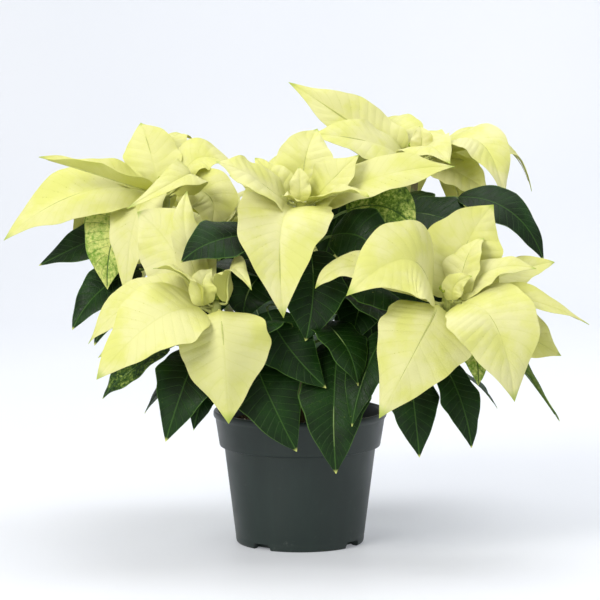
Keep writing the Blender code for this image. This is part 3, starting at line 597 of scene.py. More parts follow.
def blade_shell(blade: Blade, spare: float = 0.0) -> tuple[ndarray, list, ndarray]:
    """A coarse closed blade with its stalk.

    Args:
        blade: The blade.
        spare: How much thicker it is made on each face.

    Returns:
        Points, faces and how far along the rib each point lies.
    """
    lines, along, across = [], [], []
    for t, places in grid_rows(blade.width):
        lines.append(list(range(len(along), len(along) + len(places))))
        along += [t] * len(places)
        across += places
    along, across = np.array(along, float), np.array(across, float)
    middle, normal, _ = surface(blade, along, across)
    middle[:2], normal[:2] = stalk_section(blade, blade.root, 0.5)
    foot, foot_normal = stalk_section(blade, blade.foot, 1.0)
    middle, normal = np.vstack([middle, foot]), np.vstack([normal, foot_normal])
    thickness = np.where(along == 0, STALK_THICKNESS, BLADE_THICKNESS)
    half = np.append(thickness, [STALK_THICKNESS] * 2)[:, None] / 2 + spare
    count = len(middle)
    lines.insert(0, [count - 2, count - 1])
    across = np.append(across, (-1, 1))
    along = np.append(along, (0, 0))
    top = []
    for first, second in zip(lines, lines[1:]):
        top += stitch(first, second, across)
    faces = top + [(a + count, c + count, b + count) for a, b, c in top]
    border = [(a[0], b[0]) for a, b in zip(lines, lines[1:])]
    border += [(a[-1], b[-1]) for a, b in zip(lines, lines[1:])]
    border.append(tuple(lines[0]))
    for a, b in border:
        faces.append((a, b, b + count))
        faces.append((a, b + count, a + count))
    points = np.vstack([middle + half * normal, middle - half * normal])
    return points, faces, np.append(along, along)


def outer_faces(faces: list, along: ndarray) -> list:
    """The faces of a blade that lie outside the crowded middle of its head."""
    return [face for face in faces if min(along[k] for k in face) >= ROSETTE_START]


def tree(points: ndarray, faces: list) -> BVHTree:
    """A search tree of a shell."""
    return BVHTree.FromPolygons([tuple(p) for p in points], faces)


def swung(blade: Blade, pitch: float, yaw: float, length: float = 1.0) -> Blade:
    """A blade swung about its base and made shorter.

    Args:
        blade: The blade.
        pitch: Degrees up.
        yaw: Degrees round.
        length: What its length and width are multiplied by.

    Returns:
        The new blade.
    """
    side = np.cross(blade.tip - blade.root, (0, 0, 1.0))
    if np.linalg.norm(side) < 1:
        side = np.array((1.0, 0, 0))
    parts = []
    for end in (blade.mid, blade.tip):
        arm = turn((end - blade.root) * length, side, pitch)
        parts.append(blade.root + turn(arm, (0, 0, 1), yaw))
    face = turn(turn(blade.face, side, pitch), (0, 0, 1), yaw)
    return blade._replace(mid=parts[0], tip=parts[1], face=face, width=blade.width * length)


class Bed:
    """The blades and stems placed so far, and the test that a new blade stays clear of them."""

    def __init__(self) -> None:
        """Start with nothing placed."""
        self.placed: list = []

    def add_solid(self, node: str, points: list, faces: list) -> None:
        """Add a stem, pot or bud cluster."""
        whole = tree(points, faces)
        self.placed.append((node, np.min(points, axis=0), np.max(points, axis=0), whole, whole))

    def add_blade(self, node: str, blade: Blade) -> None:
        """Add a blade that has its place."""
        points, faces, along = blade_shell(blade)
        self.placed.append((node, points.min(axis=0), points.max(axis=0), tree(points, faces),
                            tree(points, outer_faces(faces, along))))

    def hits(self, node: str, blade: Blade) -> int:
        """Count the faces of a blade that meet something.

        Args:
            node: The solid that the blade belongs to.
            blade: The blade.

        Returns:
            The count, in which a face that meets another solid weighs much more.
        """
        points, faces, along = blade_shell(blade, CLEARANCE)
        low, high = points.min(axis=0), points.max(axis=0)
        near = [item for item in self.placed
                if not (np.any(low > item[2]) or np.any(high < item[1]))]
        if not near:
            return 0
        whole = tree(points, faces)
        outer = tree(points, outer_faces(faces, along))
        total = 0
        for other, _, _, other_whole, other_outer in near:
            if other == node:
                total += len(outer.overlap(other_outer))
            else:
                total += OTHER_NODE * len(whole.overlap(other_whole))
        return total

    def settle(self, node: str, blade: Blade, limit: int) -> Blade:
        """Place the blade with the smallest swing that keeps it clear of all the others.

        Args:
            node: The solid that the blade belongs to.
            blade: The blade as the tables give it.
            limit: The largest swing in degrees.

        Returns:
            The blade in its place.
        """
        best = None
        for length, reach in SHORTER:
            if best and best[0] < OTHER_NODE:
                break
            swings = range(-int(limit * reach), int(limit * reach) + 1, SWING_STEP)
            tries = sorted((abs(p) + YAW_COST * abs(y), p, y) for p in swings for y in swings)
            for _, pitch, yaw in tries:
                candidate = swung(blade, pitch, yaw, length)
                count = self.hits(node, candidate)
                if best is None or count < best[0]:
                    best = (count, candidate)
                if count == 0:
                    break
        self.add_blade(node, best[1])
        return best[1]


@dataclass
class StemLine:
    """The middle line of one stem, from its hole in the peat to its head."""

    name: str
    foot_radius: float = STEM_FOOT_RADIUS
    top_radius: float = STEM_TOP_RADIUS

    @property
    def hub(self) -> ndarray:
        """Middle of the head that the stem carries."""
        return np.array(HUBS[self.name], float)

    @property
    def foot(self) -> ndarray:
        """Where the stem leaves the soil; it stands straight in its hole below this point."""
        return unit((self.hub[0], self.hub[1], 0)) * STEM_CIRCLE + (0, 0, SOIL_TOP + STEM_LIFT)

    def at(self, t: ndarray | float) -> ndarray:
        """Point on the middle line.

        Args:
            t: How far up, from 0 at the soil to 1 at the head.

        Returns:
            One point for each t.
        """
        foot = self.foot
        top = self.hub - (0, 0, HUB_LENGTH + GAP)
        first = foot + (0, 0, STEM_RISE[0])
        last = top - (0, 0, STEM_RISE[1])
        t = np.asarray(t, float)[..., None]
        return ((1 - t) ** 3 * foot + 3 * t * (1 - t) ** 2 * first
                + 3 * t ** 2 * (1 - t) * last + t ** 3 * top)

    def shell(self) -> tuple[ndarray, list]:
        """The coarse tapered stem.

        Returns:
            Points and faces.
        """
        steps = STEM_STEPS + 1
        points, faces = [], []
        for k in range(steps + 1):
            t = max(k - 1, 0) / STEM_STEPS
            middle = self.at(t)
            if k == 0:
                middle = middle * (1, 1, 0) + (0, 0, HOLE_FLOOR + GAP)
            along = unit(self.at(min(t + SLOPE_STEP, 1)) - self.at(max(t - SLOPE_STEP, 0)))
            if k in (0, 1, steps):
                along = np.array((0, 0, 1.0))
            side = unit(np.cross(along, (0, 1, 0)))
            up = np.cross(side, along)
            radius = self.foot_radius + (self.top_radius - self.foot_radius) * t
            for corner in range(STEM_SIDES):
                angle = 2 * math.pi * corner / STEM_SIDES
                points.append(middle + radius * (math.cos(angle) * side + math.sin(angle) * up))
        for k in range(steps):
            for corner in range(STEM_SIDES):
                a = k * STEM_SIDES + corner
                b = k * STEM_SIDES + (corner + 1) % STEM_SIDES
                faces.append((a, b, b + STEM_SIDES))
                faces.append((a, b + STEM_SIDES, a + STEM_SIDES))
        faces.append(tuple(range(STEM_SIDES))[::-1])
        faces.append(tuple(range(steps * STEM_SIDES, (steps + 1) * STEM_SIDES)))
        return np.array(points), faces


@dataclass
class Arrangement:
    """Every bract and leaf in its place, by the same rules that made the solids."""

    bracts: dict = field(default_factory=lambda: {name: [] for name in HUBS})
    leaves: dict = field(default_factory=lambda: {name: [] for name in HUBS})

    @staticmethod
    def bract_from(hub: tuple, spec: Spec, order: int) -> Blade:
        """A bract of one head: the steeper it rises, the higher it is set.

        Args:
            hub: Middle of the head.
            spec: The bract as the table gives it.
            order: Its place in the list, which sets where the waves of its edges start.

        Returns:
            The blade.
        """
        hub = np.array(hub, float)
        mid = np.array(spec.mid, float)
        stalk = STALK_LENGTHS[0] if spec.width >= LARGE_WIDTH else STALK_LENGTHS[1]
        if spec.width < SMALL_WIDTH or np.linalg.norm(spec.tip) < SHORT_BRACT:
            stalk = STALK_LENGTHS[2]
        rise = math.degrees(math.atan2(mid[2], math.hypot(mid[0], mid[1])))
        share = min(max((STEEP_RISE - rise) / RISE_RANGE, 0.0), 1.0)
        drop = HIGHEST_FOOT + (HUB_LENGTH - FREE_LENGTH) * share
        foot = hub - (0, 0, drop)
        root = hub + unit((mid[0], mid[1], 0)) * stalk - (0, 0, drop * ROOT_DROP)
        return Blade(foot, root, hub + mid, hub + np.array(spec.tip, float), spec.width,
                     np.array(spec.face, float), spec.fold, spec.arch, spec.wave,
                     (order * BRACT_PHASE) % 1.0, spec.base, 0.0)

    @staticmethod
    def ring_specs(ring: tuple) -> list[Spec]:
        """The bracts of one ring that a rule sets.

        Args:
            ring: First heading, step, count, reach, height of the tip, height of the middle, width.

        Returns:
            The bracts, as a table would give them.
        """
        first, step, count, reach, tip_height, mid_height, width = ring
        specs = []
        for k in range(count):
            heading = math.radians(first + step * k)
            out = np.array((math.cos(heading), math.sin(heading), 0.0))
            stretch = 1.0 + RING_SWELL * math.sin(RING_BEAT * k + first)
            mid = out * reach * RING_MIDDLE * stretch + (0, 0, mid_height)
            tip = out * reach * stretch + (0, 0, tip_height)
            face = out * (RISING_FACE if tip_height > mid_height else HANGING_FACE) + (0, 0, 1)
            specs.append(Spec(mid, tip, width, face))
        return specs

    @staticmethod
    def leaf_from(name: str, spec: LeafSpec, order: int) -> Blade:
        """A leaf of one stem from its table entry."""
        foot = StemLine(name).at(spec.height)
        return Blade(foot, np.array(spec.root, float), np.array(spec.mid, float),
                     np.array(spec.tip, float), spec.width, np.array(spec.face, float),
                     spec.fold, spec.arch, spec.wave, (order * LEAF_PHASE) % 1.0, LEAF_BASE,
                     LEAF_LOBE)

    @classmethod
    def rule_leaf(cls, name: str, rule: tuple, order: int) -> Blade:
        """A leaf of one stem that a rule sets.

        Args:
            name: The stem.
            rule: Height up the stem, heading, reach of the stalk, length, width.
            order: Its place in the list.

        Returns:
            The blade.
        """
        height, heading, stalk, length, width = rule
        foot = StemLine(name).at(height)
        out = np.array((math.cos(math.radians(heading)), math.sin(math.radians(heading)), 0.0))
        root = foot + out * stalk + (0, 0, LEAF_LIFT)
        mid = root + out * length * LEAF_MIDDLE[0] - (0, 0, length * LEAF_MIDDLE[1])
        tip = root + out * length * LEAF_END[0] - (0, 0, length * LEAF_END[1])
        face = out * LEAF_FACE + (0, 0, 1)
        return cls.leaf_from(name, LeafSpec(height, root, mid, tip, width, face), order)

    def jobs(self) -> list[tuple]:
        """Every blade that has to be placed, in the order of the stages.

        Returns:
            Stage, stem and blade of each.
        """
        jobs = []
        for name, specs in BRACTS.items():
            for order, row in enumerate(specs):
                blade = self.bract_from(HUBS[name], Spec(*row), order)
                jobs.append((Stage.HAND_BRACT, name, blade))
            order = len(specs)
            for ring in RINGS[name]:
                for spec in self.ring_specs(ring):
                    blade = self.bract_from(HUBS[name], spec, order)
                    jobs.append((Stage.RULE_BRACT, name, blade))
                    order += 1
        for name, specs in LEAVES.items():
            for order, row in enumerate(specs):
                blade = self.leaf_from(name, LeafSpec(*row), order)
                blade = blade._replace(pale=TURNING_LEAVES.get((name, order), 0.0))
                jobs.append((Stage.HAND_LEAF, name, blade))
            for order, rule in enumerate(RULE_LEAVES[name]):
                jobs.append((Stage.RULE_LEAF, name, self.rule_leaf(name, rule, order)))
            for order, row in enumerate(INNER_LEAVES.get(name, [])):
                blade = self.leaf_from(name, LeafSpec(*row), order)
                jobs.append((Stage.INNER_LEAF, name, blade))
        return sorted(jobs, key=lambda job: job[0].value)

    def settle(self) -> None:
        """Place every blade clear of the pot, the stems and its neighbours."""
        bed = Bed()
        bed.add_solid("pot", *turned_shell(coarse_pot_profile(), POT_SIDES))
        for name in HUBS:
            bed.add_solid("stem_" + name, *StemLine(name).shell())
            bed.add_solid("bloom_" + name, *turned_shell(HUB_PROFILE, STEM_SIDES, HUBS[name]))
            bed.add_solid("buds_" + name, *turned_shell(BUD_BASE, STEM_SIDES, HUBS[name]))
            for place, size in coarse_buds(name):
                profile = [(radius * size, height * size) for radius, height in BUD_PROFILE]
                bed.add_solid("buds_" + name, *turned_shell(profile, BUD_SIDES, place))
        for stage, name, blade in self.jobs():
            leafy = stage in LEAFY_STAGES
            node = ("stem_" if leafy else "bloom_") + name
            placed = bed.settle(node, blade, SWING_LIMITS[stage])
            (self.leaves if leafy else self.bracts)[name].append(placed)


def body_radius(height: float) -> float:
    """Outer radius of the tapered pot below its collar."""
    share = height / (POT_HEIGHT - BAND_HEIGHT)
    return BASE_RADIUS + (BODY_RADIUS - BASE_RADIUS) * share


def coarse_pot_profile() -> list[tuple]:
    """Outline of the solid pot's wall.

    Returns:
        Radius and height of each ring.
    """
    collar = POT_HEIGHT - BAND_HEIGHT
    return [
        (0, 0), (BASE_RADIUS - 1.4, 0), (BASE_RADIUS + 0.3, 1.4),
        (body_radius(FOOT_CUT + 1.0), FOOT_CUT + 1.0), (body_radius(collar), collar - 1.2),
        (BAND_RADIUS - 0.6, collar), (BAND_RADIUS, collar + 1.0),
        (RIM_RADIUS - 1.4, POT_HEIGHT - 6.5), (RIM_RADIUS, POT_HEIGHT - 5.0),
        (RIM_RADIUS, POT_HEIGHT - 1.6), (RIM_RADIUS - 1.6, POT_HEIGHT),
        (RIM_RADIUS - 5.2, POT_HEIGHT), (BAND_RADIUS - POT_WALL, collar + 3),
        (BODY_RADIUS - POT_WALL, collar - 2),
        (body_radius(POT_FLOOR + 4) - POT_WALL - 0.4, POT_FLOOR + 4),
        (BASE_RADIUS - 5, POT_FLOOR), (0, POT_FLOOR),
    ]


def coarse_buds(name: str) -> list[tuple]:
    """The solid buds of one head.

    Args:
        name: The head.

    Returns:
        Place and size of each bud.
    """
    hub = np.array(HUBS[name], float)
    shapes = []
    for k in range(BUD_COUNT):
        angle = GOLDEN_ANGLE * k
        reach = BUD_REACH * math.sqrt(k)
        place = hub + (reach * math.cos(angle), reach * math.sin(angle),
                       BUD_HEIGHT - BUD_DROP * k)
        shapes.append((place, BUD_SIZE + BUD_GROWTH * k))
    return shapes


# Meshes


def build_mesh(name: str, points: ndarray, faces: ndarray,
               values: dict[str, ndarray] | None = None) -> Mesh:
    """A mesh from points in millimetres and faces that all have the same number of corners.

    Args:
        name: The mesh's name.
        points: One row for each point.
        faces: One row for each face.
        values: Named numbers, one for each point, that the finishes read.

    Returns:
        The mesh.
    """
    mesh = bpy.data.meshes.new(name)
    points = np.asarray(points, np.float32) * MM
    faces = np.asarray(faces, np.int32)
    corners = faces.shape[1]
    mesh.vertices.add(len(points))
    mesh.vertices.foreach_set("co", points.ravel())
    mesh.loops.add(faces.size)
    mesh.loops.foreach_set("vertex_index", faces.ravel())
    mesh.polygons.add(len(faces))
    mesh.polygons.foreach_set("loop_start", np.arange(len(faces), dtype=np.int32) * corners)
    mesh.update(calc_edges=True)
    for key, numbers in (values or {}).items():
        layer = mesh.attributes.new(key, "FLOAT", "POINT")
        layer.data.foreach_set("value", np.asarray(numbers, np.float32).ravel())
    mesh.validate()
    return mesh


def plain_mesh(name: str, points: list | ndarray, faces: list) -> Mesh:
    """A mesh with any number of corners to a face.

    Args:
        name: The mesh's name.
        points: Its points in millimetres.
        faces: Its faces.

    Returns:
        The mesh.
    """
    mesh = bpy.data.meshes.new(name)
    mesh.from_pydata([tuple(c * MM for c in p) for p in points], [], faces)
    return mesh


def linked(name: str, data: bpy.types.ID) -> Object:
    """A new object at the origin, linked to the scene.

    Args:
        name: The object's name.
        data: Its mesh, light or camera.

    Returns:
        The object.
    """
    item = bpy.data.objects.new(name, data)
    bpy.context.scene.collection.objects.link(item)
    return item


def show(name: str, mesh: Mesh, finish: Material | None,
         sharp: float = 40.0) -> Object:
    """Link a mesh to the scene as an object at the origin, with smooth faces.

    Args:
        name: The object's name.
        mesh: Its mesh.
        finish: Its material, or None where the mesh has one.
        sharp: Edges that turn by more than this many degrees stay sharp.

    Returns:
        The object.
    """
    if finish is not None:
        mesh.materials.clear()
        mesh.materials.append(finish)
    mesh.shade_smooth()
    mesh.set_sharp_from_angle(angle=math.radians(sharp))
    mesh.name = name
    return linked(name, mesh)


def place_piece(item: Object, slot: str, *nodes: str) -> Object:
    """Tie a finished piece to the root, hide the solids that it stands for and log its triangles.

    Args:
        item: The piece.
        slot: Not used.
        *nodes: The solids that it replaces.

    Returns:
        The piece.
    """
    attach(item, "root")
    if nodes:
        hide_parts(*nodes)
    item.data.calc_loop_triangles()
    LOG.info("%s: %d triangles", item.name, len(item.data.loop_triangles))
    return item


def sheet_faces(rows: int, columns: int) -> ndarray:
    """Faces of a closed sheet: two grids of points, back to back, and the rim between.

    Args:
        rows: Rows of each grid.
        columns: Columns of each grid.

    Returns:
        Four corners for each face.
    """
    top = np.arange(rows * columns).reshape(rows, columns)
    low = top + rows * columns
    a, b, c, d = top[:-1, :-1], top[:-1, 1:], top[1:, 1:], top[1:, :-1]
    faces = [np.stack([a, b, c, d], -1).reshape(-1, 4)]
    a, b, c, d = low[:-1, :-1], low[:-1, 1:], low[1:, 1:], low[1:, :-1]
    faces.append(np.stack([d, c, b, a], -1).reshape(-1, 4))
    faces.append(np.stack([top[:-1, 0], top[1:, 0], low[1:, 0], low[:-1, 0]], -1))
    faces.append(np.stack([top[1:, -1], top[:-1, -1], low[:-1, -1], low[1:, -1]], -1))
    faces.append(np.stack([top[0, 1:], top[0, :-1], low[0, :-1], low[0, 1:]], -1))
    faces.append(np.stack([top[-1, :-1], top[-1, 1:], low[-1, 1:], low[-1, :-1]], -1))
    return np.vstack(faces)


# The fine surface of a blade. A sheet has its rows and columns; an edge wave has its height, its
# radians for the length of the rib and its lag; a dent has its height and its radians along the
# rib and for a half width
SHEETS = ((54, 21), (44, 17), (30, 13))
TIP_CROWDING = 1.12
LEAST_HALF_WIDTH = 0.2
EDGE_WAVES = ((1.0, 14.5, 1.9), (0.6, 31.0, -1.0))
DENTS = ((1.0, 5.1, 2.2), (0.7, 9.3, -3.1), (0.5, 0.0, 4.2))
DENT_DEPTH = 0.6
RIPPLE_WAVE = 21
VEIN_WANDER = (0.13, 9)
VEIN_BEND = 0.8
CUSHION_ROUND = 0.8
CUSHION_SEAT = 0.6
ROOT_SHARE = 0.03
TIP_SHARE = 0.14
QUILT_HALF_WIDTH = 18
DENT_HALF_WIDTH = 26
GROOVE_WIDTH = 1.1
EDGE_THINNING = (0.55, 0.45)


@dataclass(frozen=True)
class BladeLook:
    """How the tissue of a bract or a leaf is modelled. Lengths are millimetres."""

    thickness: float = 0.55
    vein_gap: float = 9.5          # between two side veins, along the rib
    vein_lean: float = 0.17        # how far a side vein climbs towards the tip, of the length
    quilt: float = 1.25            # height of the cushions between the veins
    ripple: float = 1.1            # of the finer waves along the edge
    unevenness: float = 1.2        # slow dents over the whole blade
    ragged: float = 0.035          # of the outline, as a share of the width
    rib_groove: float = 0.4


@dataclass
class FineBlade:
    """One bract or leaf as a fine closed sheet, with the numbers that its finish reads."""

    blade: Blade
    look: BladeLook
    seed: int

    def sizes(self) -> tuple[int, int]:
        """Rows and columns of the sheet; an odd number of columns puts one on the rib.

        Returns:
            The two numbers.
        """
        if self.blade.width >= LARGE_WIDTH:
            return SHEETS[0]
        return SHEETS[1] if self.blade.width >= SMALL_WIDTH else SHEETS[2]

    def length(self) -> float:
        """Length of the rib."""
        points, _ = rib(self.blade, np.linspace(0, 1, 12))
        return float(np.linalg.norm(np.diff(points, axis=0), axis=1).sum())

    def edge(self, t: ndarray, v: ndarray, shift: ndarray) -> ndarray:
        """The uneven edge of the blade.

        Args:
            t: Places along the rib.
            v: Places across.
            shift: Where the waves start.

        Returns:
            What the half width is multiplied by.
        """
        waves = sum(height * np.sin(wave * t + start + lag * np.sign(v))
                    for (height, wave, lag), start in zip(EDGE_WAVES, shift))
        return 1 + self.look.ragged * waves

    def vein_phase(self, t: ndarray, v: ndarray, start: float) -> ndarray:
        """Number the side veins from root to tip; a vein lies at each whole number.

        Args:
            t: Places along the rib.
            v: Places across.
            start: Where the veins' wander starts.

        Returns:
            The number at each place.
        """
        count = max(5, round(self.length() / self.look.vein_gap))
        veins = count * (t - self.look.vein_lean * np.abs(v) ** VEIN_BEND)
        return veins + VEIN_WANDER[0] * np.sin(VEIN_WANDER[1] * t + start) + 0.5 * (v > 0)

    def relief(self, t: ndarray, v: ndarray, half: ndarray, veins: ndarray,
               shift: ndarray) -> ndarray:
        """Cushions between the veins, slow dents, ripples along the edge and the rib's groove.

        Args:
            t: Places along the rib.
            v: Places across.
            half: Half widths.
            veins: The numbers of the side veins.
            shift: Where the dents and ripples start.

        Returns:
            Height above the smooth blade.
        """
        look = self.look
        inside = np.sin(math.pi * np.clip(t, 0, 1)) ** 0.5 * np.clip((1 - t) / TIP_SHARE, 0, 1)
        cushion = np.abs(np.sin(math.pi * veins)) ** CUSHION_ROUND - CUSHION_SEAT
        fade = np.clip(np.abs(v) * 3.2, 0, 1) * (1 - 0.75 * np.abs(v) ** 5)
        lift = look.quilt * cushion * fade * inside * np.clip(half / QUILT_HALF_WIDTH, 0.25, 1)
        slow = sum(height * np.sin(rise * t + reach * v + start)
                   for (height, rise, reach), start in zip(DENTS, shift))
        breadth = np.clip(half / DENT_HALF_WIDTH, 0.1, 1)
        lift = lift + look.unevenness * slow * inside * breadth * DENT_DEPTH
        waves = np.sin(RIPPLE_WAVE * t + shift[len(DENTS)] + 2 * np.sign(v))
        lift = lift + look.ripple * waves * v ** 4 * inside
        lift = lift - look.rib_groove * np.exp(-(v * half / GROOVE_WIDTH) ** 2) * inside
        return lift * np.clip(t / ROOT_SHARE, 0, 1)

    def build(self) -> Sheet:
        """Make the sheet.

        Returns:
            Points, faces and named numbers.
        """
        rows, columns = self.sizes()
        rng = np.random.default_rng(self.seed)
        u = np.linspace(0, 1, rows)
        t, v = np.meshgrid(1 - (1 - u) ** TIP_CROWDING, np.linspace(-1, 1, columns),
                           indexing="ij")
        shift = rng.uniform(0, 2 * math.pi, 8)
        middle, normal, half = surface(self.blade, t, v, least=LEAST_HALF_WIDTH,
                                       spread=self.edge(t, v, shift[:2]))
        veins = self.vein_phase(t, v, shift[2])
        middle = middle + self.relief(t, v, half, veins, shift[3:])[..., None] * normal
        thin = self.look.thickness / 2 * (
            EDGE_THINNING[0] + EDGE_THINNING[1] * (1 - np.abs(v) ** 4))
        points = np.concatenate([(middle + thin[..., None] * normal).reshape(-1, 3),
                                 (middle - thin[..., None] * normal).reshape(-1, 3)])
        both = [np.concatenate([x.ravel(), x.ravel()]) for x in
                (t, veins, np.abs(v) * half, np.abs(v))]
        size = rows * columns
        values = {
            "along": both[0], "veins": both[1], "from_rib": both[2], "across": both[3],
            "under": np.concatenate([np.zeros(size), np.ones(size)]),
            "tone": np.full(2 * size, rng.uniform(0, 1)),
            "pale": np.full(2 * size, self.blade.pale),
        }
        return points, sheet_faces(rows, columns), values


def gather(parts: list[Sheet]) -> Sheet:
    """Join sheets into one.

    Args:
        parts: Points, faces and named numbers of each sheet.

    Returns:
        Points, faces and named numbers of all together.
    """
    offset = 0
    faces = []
    for points, shape, _ in parts:
        faces.append(shape + offset)
        offset += len(points)
    values = {key: np.concatenate([part[2][key] for part in parts]) for key in parts[0][2]}
    return np.vstack([part[0] for part in parts]), np.vstack(faces), values


# Geometry node trees


def add(tree_of: NodeTree, kind: str, inputs: dict | None = None,
        **settings: object) -> Node:
    """Add a node with its settings and its inputs.

    Args:
        tree_of: The node tree.
        kind: The node's type.
        inputs: What goes into each socket, by name or number: a value or another socket.
        **settings: Properties of the node.

    Returns:
        The node.
    """
    made = tree_of.nodes.new(kind)
    for key, value in settings.items():
        setattr(made, key, value)
    for key, value in (inputs or {}).items():
        if isinstance(value, NodeSocket):
            tree_of.links.new(value, made.inputs[key])
        else:
            made.inputs[key].default_value = value
    return made


def reckon(tree_of: NodeTree, operation: str, *values: object) -> NodeSocket:
    """Add one sum of sockets or numbers to a node tree.

    Args:
        tree_of: The node tree.
        operation: The sum's name.
        *values: What goes into it.

    Returns:
        The result.
    """
    return add(tree_of, "ShaderNodeMath", dict(enumerate(values)), operation=operation).outputs[0]


def new_tree(name: str, sockets: dict[str, float | str]) -> NodeTree:
    """A geometry node tree with a geometry in and out and named inputs.

    Args:
        name: The tree's name.
        sockets: For each input its number, or what kind of thing it takes.

    Returns:
        The tree.
    """
    made = bpy.data.node_groups.new(name, "GeometryNodeTree")
    made.interface.new_socket("Geometry", in_out="INPUT", socket_type="NodeSocketGeometry")
    made.interface.new_socket("Geometry", in_out="OUTPUT", socket_type="NodeSocketGeometry")
    for key, value in sockets.items():
        kind = {int: "Int", float: "Float"}.get(type(value), value)
        socket = made.interface.new_socket(key, in_out="INPUT", socket_type=f"NodeSocket{kind}")
        if kind != value:
            socket.default_value = value
    return made


def end_tree(made: NodeTree, geometry: NodeSocket, finish: NodeSocket) -> None:
    """Make the copies of a tree real, dress them and hand them out.

    Args:
        made: The tree.
        geometry: The copies.
        finish: Their material.
    """
    real = add(made, "GeometryNodeRealizeInstances", {"Geometry": geometry})
    dressed = add(made, "GeometryNodeSetMaterial",
                  {"Geometry": real.outputs["Geometry"], "Material": finish})
    add(made, "NodeGroupOutput", {"Geometry": dressed.outputs["Geometry"]})


def grown(item: Object, tree_of: NodeTree,
          values: dict[str, object]) -> Mesh:
    """The plain mesh that a geometry node tree makes of an object, which is then removed.

    Args:
        item: The object that the tree starts from.
        tree_of: The tree.
        values: What its named inputs are set to.

    Returns:
        The mesh.
    """
    change = item.modifiers.new("grow", "NODES")
    change.node_group = tree_of
    for socket in tree_of.interface.items_tree:
        if socket.in_out == "INPUT" and socket.name in values:
            change[socket.identifier] = values[socket.name]
    graph = bpy.context.evaluated_depsgraph_get()
    mesh = bpy.data.meshes.new_from_object(item.evaluated_get(graph), depsgraph=graph)
    item.modifiers.remove(change)
    bpy.data.objects.remove(item, do_unlink=True)
    return mesh


def tube_tree() -> NodeTree:
    """A round tube along every chain of edges, as thick as the points say.

    Returns:
        The tree.
    """
    made = new_tree("tube", {"Sides": 8, "Finish": "Material"})
    start = add(made, "NodeGroupInput")
    radius = add(made, "GeometryNodeInputNamedAttribute", {"Name": "radius"},
                 data_type="FLOAT")
    line = add(made, "GeometryNodeMeshToCurve", {"Mesh": start.outputs["Geometry"]})
    sized = add(made, "GeometryNodeSetCurveRadius",
                {"Curve": line.outputs["Curve"], "Radius": radius.outputs["Attribute"]})
    ring = add(made, "GeometryNodeCurvePrimitiveCircle",
               {"Resolution": start.outputs["Sides"], "Radius": 1.0})
    skin = add(made, "GeometryNodeCurveToMesh",
               {"Curve": sized.outputs["Curve"], "Profile Curve": ring.outputs["Curve"],
                "Scale": radius.outputs["Attribute"], "Fill Caps": True})
    end_tree(made, skin.outputs["Mesh"], start.outputs["Finish"])
    return made


@dataclass
class Tubes:
    """Round stalks, ribs and stems that follow chains of points."""

    name: str
    sides: int = 8
    chains: list = field(default_factory=list)

    def add_chain(self, points: ndarray, radii: ndarray, age: float = 0.0) -> None:
        """Add a chain of points and radii; age runs from 0, young and green, to 1, woody."""
        self.chains.append((np.asarray(points, float), np.asarray(radii, float), age))

    def mesh(self, finish: Material) -> Mesh:
        """The tubes as one plain mesh.

        Args:
            finish: Their material.

        Returns:
            The mesh.
        """
        points, edges, radii, ages = [], [], [], []
        for line, radius, age in self.chains:
            first = len(points)
            points += [tuple(p * MM) for p in line]
            edges += [(first + k, first + k + 1) for k in range(len(line) - 1)]
            radii += [r * MM for r in radius]
            ages += [age] * len(line)
        lines = bpy.data.meshes.new(self.name + "_lines")
        lines.from_pydata(points, edges, [])
        for key, numbers in (("radius", radii), ("age", ages)):
            layer = lines.attributes.new(key, "FLOAT", "POINT")
            layer.data.foreach_set("value", np.array(numbers, np.float32))
        item = linked(self.name + "_lines", lines)
        return grown(item, tube_tree(), {"Sides": self.sides, "Finish": finish})


# A stalk: points on it and on the rib that it runs on as, the stretch of the blade that the rib
# covers, the flare at the foot, and how deep the rib lies under the blade
STALK_POINTS = 9
RIB_POINTS = 15
RIB_STRETCH = (0.03, 0.93)
STALK_FLARE = 1.25
RIB_THINNING = 0.85
RIB_END = 0.12
RIB_DEPTH = (0.85, 0.4)


def stalk_chain(blade: Blade, thick: float) -> tuple[ndarray, ndarray]:
    """The line of a stalk, which runs on under the blade as its rib.

    Args:
        blade: The blade that it carries.
        thick: Radius of the stalk.

    Returns:
        Points and radii.
    """
    _, along = rib(blade, 0.0)
    reach = np.linalg.norm(blade.root - blade.foot)
    out = unit(blade.root - blade.foot)
    first = blade.foot + out * reach * 0.4
    last = blade.root - along * min(reach * 0.35, 14.0)
    t = np.linspace(0, 1, STALK_POINTS)[:, None]
    stalk = ((1 - t) ** 3 * blade.foot + 3 * t * (1 - t) ** 2 * first
             + 3 * t ** 2 * (1 - t) * last + t ** 3 * blade.root)
    u = np.linspace(*RIB_STRETCH, RIB_POINTS)
    middle, normal, _ = surface(blade, u, np.zeros_like(u))
    radii = thick * (1 - u) ** 0.8 * RIB_THINNING + RIB_END
    under = middle - normal * (radii * RIB_DEPTH[0] + RIB_DEPTH[1])[:, None]
    line = np.vstack([stalk[:-1], under])
    size = np.concatenate([np.linspace(thick * STALK_FLARE, thick, STALK_POINTS - 1), radii])
    return line, size


# Finishes


